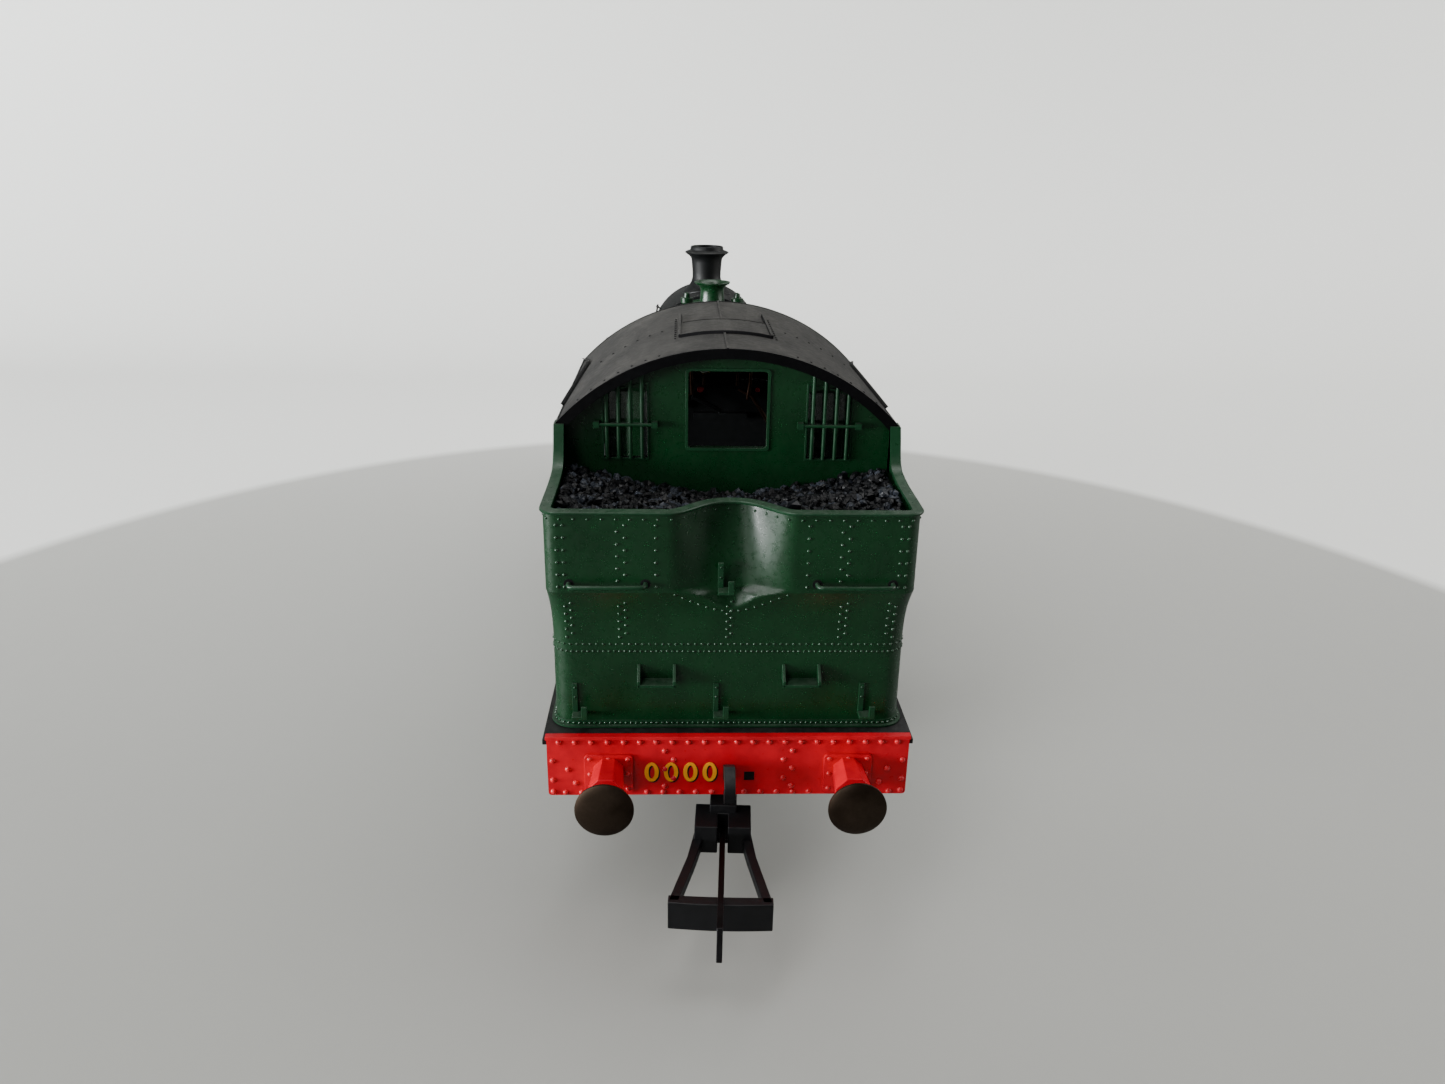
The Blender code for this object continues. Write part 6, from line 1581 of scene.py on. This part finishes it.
def pony_wheels():
    at = middle("pony_wheelset")
    radius = 6.35
    steel, centre = Shape(), Shape()
    for side in SIDES.values():
        axis = (0, side, 0)
        inner = 5.45
        profile = [(inner, BACK), (radius + 0.7, BACK), (radius + 0.86, BACK + 0.15), (radius + 0.86, BACK + 0.34)]
        profile += [(radius + 0.12, BACK + 0.78), (radius, BACK + 1.0), (radius - 0.1, BACK + TREAD), (inner, BACK + TREAD)]
        steel.lathe(profile, axis, at, 72, closed=True)
        rim = [(4.95, BACK + 0.4), (5.5, BACK + 0.3), (5.5, BACK + TREAD - 0.15), (5.0, BACK + TREAD - 0.45)]
        centre.lathe(rim, axis, at, 72, closed=True)
        centre.lathe([(0.95, BACK), (1.7, BACK), (1.6, BACK + TREAD - 0.2), (0.95, BACK + TREAD - 0.1)], axis, at, 28, closed=True)
        for i in range(10):
            pony_spoke(centre, at, side, math.radians(36 * i))
    steel.rod(at - Vector((0, BACK + TREAD - 0.1, 0)), at + Vector((0, BACK + TREAD - 0.1, 0)), 1.0, 24)
    show("pony_tyres", steel, "pony_wheelset", TYRE, smooth=30, replaces=("pony_wheelset",))
    show("pony_centres", centre, "pony_wheelset", WHEEL_GREEN, bevel=0.05)


def pony_spoke(shape, at, side, angle):
    along = Vector((math.cos(angle), 0, math.sin(angle)))
    across = Vector((-math.sin(angle), 0, math.cos(angle)))
    rings = []
    for radius, half, depth in ((1.4, 0.42, 0.75), (5.1, 0.32, 0.55)):
        section = [(half * math.cos(a), depth * math.sin(a)) for a in [math.radians(36 * i) for i in range(10)]]
        rings.append([at + along * radius + across * u + Vector((0, side * (BACK + 1.45 + v), 0)) for u, v in section])
    shape.loft(rings)


def pony_frame():
    """The pony truck: radius arm, bolster, cheeks with axle slots, and its pivot."""
    pivot = REAR + 109.0
    at = middle("pony_wheelset")
    shape = Shape()
    arm = arc(pivot, 0, 2.0, 90, 270, 10) + [(at.x - 4.6, -3.2), (at.x - 4.6, 3.2)]
    shape.prism(arm, "Z", 2.6, 3.5)
    shape.box((at.x - 4.9, -3.2, 2.6), (at.x - 3.9, 3.2, 10.8))
    shape.box((at.x - 4.8, -3.2, 9.7), (at.x + 2.6, 3.2, 10.8))
    for side in SIDES.values():
        slot = arc(at.x, at.z, 1.08, 180, 0, 10)
        cheek = [(at.x - 2.5, 10.0), (at.x - 2.5, 4.6), (at.x - 1.08, 4.6), *slot, (at.x + 1.08, 4.6), (at.x + 2.5, 4.6), (at.x + 2.5, 10.0)]
        shape.prism(cheek, "Y", *both(side, 2.4, 3.9))
        shape.rod((pivot + 9.0, side * 1.7, 2.2), (pivot + 9.0, side * 1.7, 3.9), 0.45, 12)
    shape.rod((pivot, 0, 2.7), (pivot, 0, 14.6), 1.0, 24)
    shape.rod((pivot, 0, 3.4), (pivot, 0, 4.3), 1.7, 24)
    show("pony_frame", shape, "pony_truck", PLASTIC, bevel=0.07, replaces=("pony_truck",))


def crank_pin(side):
    angle = math.radians(CRANK_ANGLE[side])
    return DRIVER.x + CRANK * math.cos(angle), DRIVER.z + CRANK * math.sin(angle)


def gudgeon_x(side):
    """Where the crosshead's pin stands at rest."""
    px, pz = crank_pin(side)
    return px + math.sqrt(ROD_LENGTH**2 - (CYLINDER_Z - pz) ** 2)


def fluted_bar(shape, a, b, half_a, half_b, y0, y1, depth, margin):
    """A bar between two points with a milled recess along its outer face."""
    a, b = Vector((a[0], 0, a[1])), Vector((b[0], 0, b[1]))
    along = (b - a).normalized()
    across = Vector((-along.z, 0, along.x))
    side = 1 if abs(y1) > abs(y0) else -1
    outer = y1 if side > 0 else y0
    inner = y0 if side > 0 else y1
    step = math.copysign(depth, outer)

    def loop(y, cut, shrink):
        start, end = a + along * cut, b - along * cut
        return [
            start + across * (half_a - shrink) + Vector((0, y, 0)),
            end + across * (half_b - shrink) + Vector((0, y, 0)),
            end - across * (half_b - shrink) + Vector((0, y, 0)),
            start - across * (half_a - shrink) + Vector((0, y, 0)),
        ]

    rings = [loop(inner, 0, 0), loop(outer, 0, 0), loop(outer, margin, 0.22), loop(outer - step, margin + 0.1, 0.28)]
    shape.loft(rings)


def rod_eye(shape, x, z, radius, hole, y0, y1, oiler=True):
    shape.prism(ring(x, z, radius, 28), "Y", y0, y1, holes=[ring(x, z, hole, 20)[::-1]])
    if oiler:
        shape.box((x - 0.5, y0 + 0.1, z + radius - 0.3), (x + 0.5, y1 - 0.1, z + radius + 0.35))
        shape.rod((x, (y0 + y1) / 2, z + radius + 0.2), (x, (y0 + y1) / 2, z + radius + 0.55), 0.25, 10)


def coupling_rods(name, side):
    shape = Shape()
    px, pz = crank_pin(side)
    pins = [px + AXLES[n].x - DRIVER.x for n in (4, 3, 2, 1)]
    y0, y1 = both(side, 10.4, 11.2)
    for x0, x1 in zip(pins, pins[1:]):
        fluted_bar(shape, (x0 + 1.1, pz), (x1 - 1.1, pz), 0.62, 0.62, y0 + 0.08, y1 - 0.08, 0.2, 0.9)
    for x in pins:
        rod_eye(shape, x, pz, 1.45, 0.8, y0, y1)
    node = f"coupling_rod_{name}"
    show(f"side_{node}", shape, node, STEEL, bevel=0.05, replaces=(node,))


def connecting_rods(name, side):
    shape = Shape()
    px, pz = crank_pin(side)
    pin = Vector((gudgeon_x(side), 0, CYLINDER_Z))
    y0, y1 = both(side, 11.5, 12.15)
    along = (Vector((pin.x, pin.z)) - Vector((px, pz))).normalized()
    start = (px + along.x * 1.2, pz + along.y * 1.2)
    end = (pin.x - along.x * 0.7, pin.z - along.y * 0.7)
    fluted_bar(shape, start, end, 0.78, 0.52, y0 + 0.05, y1 - 0.05, 0.18, 1.0)
    rod_eye(shape, px, pz, 1.6, 0.82, y0, y1)
    rod_eye(shape, pin.x, pin.z, 1.15, 0.5, y0, y1, oiler=False)
    node = f"connecting_rod_{name}"
    show(f"main_{node}", shape, node, STEEL, bevel=0.05, replaces=(node,))


def crossheads(name, side):
    """Crosshead slippers, gudgeon pin and piston rod, with the slide bars they run in."""
    rod_end = span(f"crosshead_{name}")[1].x
    x = gudgeon_x(side)
    y0, y1 = both(side, 12.65, 14.85)
    shape = Shape()
    for z0, z1 in ((1.0, 1.45), (-1.45, -1.0)):
        shape.box((x - 1.9, y0, CYLINDER_Z + z0), (x + 1.9, y1, CYLINDER_Z + z1))
    shape.box((x - 1.5, y0 + 0.25, CYLINDER_Z - 1.05), (x + 1.5, y1 - 0.25, CYLINDER_Z + 1.05))
    shape.rod((x, side * 14.4, CYLINDER_Z), (x, side * 15.2, CYLINDER_Z), 0.8, 20)
    shape.rod((x + 1.2, side * CYLINDER_Y, CYLINDER_Z), (rod_end, side * CYLINDER_Y, CYLINDER_Z), 0.6, 20)
    shape.rod((x + 1.4, side * CYLINDER_Y, CYLINDER_Z), (x + 2.4, side * CYLINDER_Y, CYLINDER_Z), 0.85, 20)
    node = f"crosshead_{name}"
    show(f"slipper_{node}", shape, node, STEEL, bevel=0.05, replaces=(node,))
    bars = Shape()
    x0, x1 = span(f"slide_bars_{name}")[0].x, span(f"slide_bars_{name}")[1].x
    y0, y1 = both(side, 12.95, 14.55)
    for z in (1.55, -2.15):
        bars.box((x0 + 0.6, y0, CYLINDER_Z + z), (x1, y1, CYLINDER_Z + z + 0.6))
        for x in (x0 + 2.0, x1 - 1.0):
            bars.rod((x, side * 13.75, CYLINDER_Z + z - 0.12), (x, side * 13.75, CYLINDER_Z + z + 0.72), 0.3, 10)
    bars.box((x0, y0, 7.2), (x0 + 1.05, y1, HIGH_PLATE - 0.62))
    bars.box((x0 + 0.3, y0 - 0.3, 14.5), (x0 + 0.75, y1 + 0.3, HIGH_PLATE - 0.62))
    show(f"bars_{name}", bars, "engine", STEEL, bevel=0.05, replaces=(f"slide_bars_{name}",))


def cylinders():
    """Both cylinders with bolted covers, valve chests, drain cocks and the saddle between."""
    x0, x1 = CHIMNEY_X - 6.5, CHIMNEY_X + 6.0
    body, covers, bolts, cocks = Shape(), Shape(), Shape(), Shape()
    body.box((x0 + 2.5, -12.5, 16.06), (x1 - 2.5, 12.5, 20.05))
    for side in SIDES.values():
        y = side * CYLINDER_Y
        wrapper = arc(y, CYLINDER_Z, 3.95, 200 if side > 0 else -20, 380 if side > 0 else -200, 28)
        top = [(y + 3.1, 20.05), (y - 3.1, 20.05)] if side > 0 else [(y - 3.1, 20.05), (y + 3.1, 20.05)]
        hole = ring(y, CYLINDER_Z, 0.75, 20)[::-1]
        body.prism(wrapper + top, "X", x0 + 0.25, x1 - 0.25, holes=[hole])
        for x, out in ((x0 + 0.3, -1), (x1 - 0.3, 1)):
            rear = out < 0
            cover = [(0.75 if rear else 0, 0), (3.8, 0), (3.8, 0.25), (3.3, 0.4), (2.0, 0.45), (1.8, 1.05), (0.75 if rear else 0, 1.15)]
            covers.lathe(cover, (out, 0, 0), (x, y, CYLINDER_Z), 48, closed=rear)
            for i in range(10):
                a = math.radians(36 * i + 18)
                at = (x + out * 0.3, y + 2.9 * math.cos(a), CYLINDER_Z + 2.9 * math.sin(a))
                bolts.rivets([at], Vector((out, 0, 0)), 0.22, 0.2, 6)
            chest_cover = rounded(y - 2.2, 15.4, y + 2.2, 18.9, 1.6, 6)
            span_x = sorted((x, x + out * 0.35))
            covers.prism(chest_cover, "X", *span_x)
        for x in (x0 + 2.0, x1 - 2.0):
            cocks.tube([(x, y, 6.3), (x, y, 5.5), (x + 0.8, y, 5.2)], 0.3, 8)
        for z in (14.3, 17.0, 19.3):
            points = row((x0 + 0.8, side * (CYLINDER_Y + 3.1), z), (x1 - 0.8, side * (CYLINDER_Y + 3.1), z), 1.2)
            if z > 16:
                bolts.rivets(points, Vector((0, side, 0)), 0.12, 0.08)
    show("cylinder_castings", body, "engine", GREEN, bevel=0.08, replaces=("cylinder_block",))
    show("cylinder_covers", covers, "engine", GREEN, bevel=0.05)
    show("cylinder_bolts", bolts, "engine", GREEN, smooth=60)
    show("drain_cocks", cocks, "engine", BRASS, smooth=50)


def sand_boxes():
    shape = Shape()
    for side in SIDES.values():
        for x in (AXLES[1].x + 10.8, AXLES[4].x - 12.2):
            y0, y1 = both(side, 10.6, 13.4)
            shape.box((x - 1.6, y0, 13.6), (x + 1.6, y1, HIGH_PLATE - 0.6))
            end_x = x - 1.9 if x > 0 else x + 1.9
            shape.tube([(x, side * 11.6, 13.8), (x, side * 10.6, 9.0), (end_x, side * 9.4, 3.4)], 0.3, 8)
    show("sand_boxes", shape, "engine", BLACK, bevel=0.12)


# ---------------------------------------------------------------- stage


TABLE_X = -0.06
TABLE_REACH = (0.16, 0.14)


def floor_look():
    """An oval table top before a paler backdrop; both show only faintly in glossy paint. The table darkens towards the
    camera: painted shade for the light falling off there.
    """
    look = Look("pale_floor", "black_paint")
    place = look.node("ShaderNodeSeparateXYZ")
    look.link(look.place, place.inputs[0])
    # Painted shade: the table darkens towards the camera, where less light falls.
    painted_falloff = look.range(place.outputs["X"], 0.0, 1.0, -0.12, 0.12)
    table = look.ramp(painted_falloff, (0.0, (0.25, 0.25, 0.232)), (1.0, (0.45, 0.45, 0.43)))
    stretched = look.node("ShaderNodeMapping")
    stretched.inputs["Location"].default_value = (-TABLE_X / TABLE_REACH[0], 0, 0)
    stretched.inputs["Scale"].default_value = (1 / TABLE_REACH[0], 1 / TABLE_REACH[1], 0)
    look.link(look.place, stretched.inputs["Vector"])
    radius = look.node("ShaderNodeVectorMath", operation="LENGTH")
    look.link(stretched.outputs["Vector"], radius.inputs[0])
    beyond = look.range(radius.outputs["Value"], 0.0, 1.0, 0.985, 1.015)
    tone = look.mix(beyond, table, (0.74, 0.745, 0.72))
    seen_in_gloss = look.node("ShaderNodeLightPath").outputs["Is Glossy Ray"]
    tone = look.mix(seen_in_gloss, tone, (0.11, 0.112, 0.108))
    return look.finish(tone, look.range(look.noise(300, 3), 0.58, 0.62))


def floor():
    """A pale floor that curves up into a backdrop."""
    bm = bmesh.new()
    start, radius = 0.17, 0.12
    turns = [math.radians(9 * i) for i in range(1, 11)]
    profile = [(-1.6, 0.0), (start, 0.0)]
    profile += [(start + radius * math.sin(a), radius - radius * math.cos(a)) for a in turns]
    profile += [(start + radius, 1.2)]
    rows = [[bm.verts.new((x, y, z)) for y in (-2.0, 2.0)] for x, z in profile]
    for a, b in zip(rows, rows[1:]):
        bm.faces.new((a[0], b[0], b[1], a[1]))
    mesh = bpy.data.meshes.new("floor")
    bm.to_mesh(mesh)
    bm.free()
    mesh.shade_smooth()
    mesh.materials.append(floor_look())
    obj = bpy.data.objects.new("floor", mesh)
    bpy.context.scene.collection.objects.link(obj)


def light(name, at, aim, size, power, colour=(1, 1, 1)):
    data = bpy.data.lights.new(name, "AREA")
    data.shape = "RECTANGLE"
    data.size, data.size_y = size
    data.energy = power
    data.color = colour
    obj = bpy.data.objects.new(name, data)
    obj.location = at
    obj.rotation_euler = (Vector(aim) - Vector(at)).to_track_quat("-Z", "Y").to_euler()
    bpy.context.scene.collection.objects.link(obj)


def lights():
    light("overhead", (0.17, -0.26, 0.50), (0.06, 0.0, 0.0), (0.5, 0.6), 2.7)
    light("window_left", (-0.20, 0.56, 0.07), (-0.06, 0.0, 0.04), (0.36, 0.13), 9.0, (0.97, 0.99, 1.0))
    light("window_right", (-0.02, -0.62, 0.20), (0.0, 0.0, 0.04), (0.5, 0.34), 2.5, (1.0, 0.99, 0.96))
    light("backdrop_wash", (0.04, 0.1, 0.62), (0.30, 0.0, 0.20), (0.2, 1.8), 5.2)
    studio()


def studio():
    """A pale surround to look at, which sheds less light than it shows."""
    world = bpy.data.worlds.new("studio")
    world.use_nodes = True
    nodes, links = world.node_tree.nodes, world.node_tree.links
    background = nodes["Background"]
    background.inputs["Color"].default_value = (0.80, 0.81, 0.80, 1)
    seen = nodes.new("ShaderNodeLightPath")
    strength = nodes.new("ShaderNodeMapRange")
    strength.inputs["To Min"].default_value = 0.09
    strength.inputs["To Max"].default_value = 0.62
    links.new(seen.outputs["Is Camera Ray"], strength.inputs["Value"])
    links.new(strength.outputs["Result"], background.inputs["Strength"])
    bpy.context.scene.world = world


def camera():
    """Stands behind and above the bunker, a little to its left."""
    yaw, pitch, roll = (math.radians(a) for a in (-2.377, -20.72, 1.093))
    ahead = Vector((math.cos(pitch) * math.cos(yaw), math.cos(pitch) * math.sin(yaw), math.sin(pitch)))
    right = ahead.cross(Vector((0, 0, 1))).normalized()
    up = right.cross(ahead)
    right, up = right * math.cos(roll) + up * math.sin(roll), up * math.cos(roll) - right * math.sin(roll)
    data = bpy.data.cameras.new("camera")
    data.sensor_width = 36.0
    data.lens = 26.42
    data.clip_start = 0.005
    obj = bpy.data.objects.new("camera", data)
    turn = Matrix((right, up, -ahead)).transposed().to_4x4()
    obj.matrix_world = Matrix.Translation((-0.16178, 0.00461, 0.07095)) @ turn
    bpy.context.scene.collection.objects.link(obj)
    bpy.context.scene.camera = obj


def build():
    bunker_sheet()
    rim_beading()
    bunker_rivets()
    base_angle()
    grab_rails()
    rear_steps()
    lamp_irons()
    heap()
    coal_lumps()
    roof_sheet()
    roof_details()
    cab_rear_wall()
    window_bars()
    cab_sides()
    cab_front()
    cab_inside()
    for name, end in ENDS.items():
        buffer_beam(name, end)
        draw_hook(name, end)
        coupling(name, end)
    running_number()
    footplate()
    footsteps()
    brake_gear()
    boiler()
    boiler_fittings()
    bonnet()
    smokebox()
    smokebox_front()
    chimney()
    tanks()
    boiler_rails()
    steam_pipes()
    front_platform()
    for name, side in SIDES.items():
        for number in AXLES:
            wheel(number, name, side)
        coupling_rods(name, side)
        connecting_rods(name, side)
        crossheads(name, side)
    pony_wheels()
    pony_frame()
    cylinders()
    sand_boxes()
    floor()
    lights()
    camera()


build()
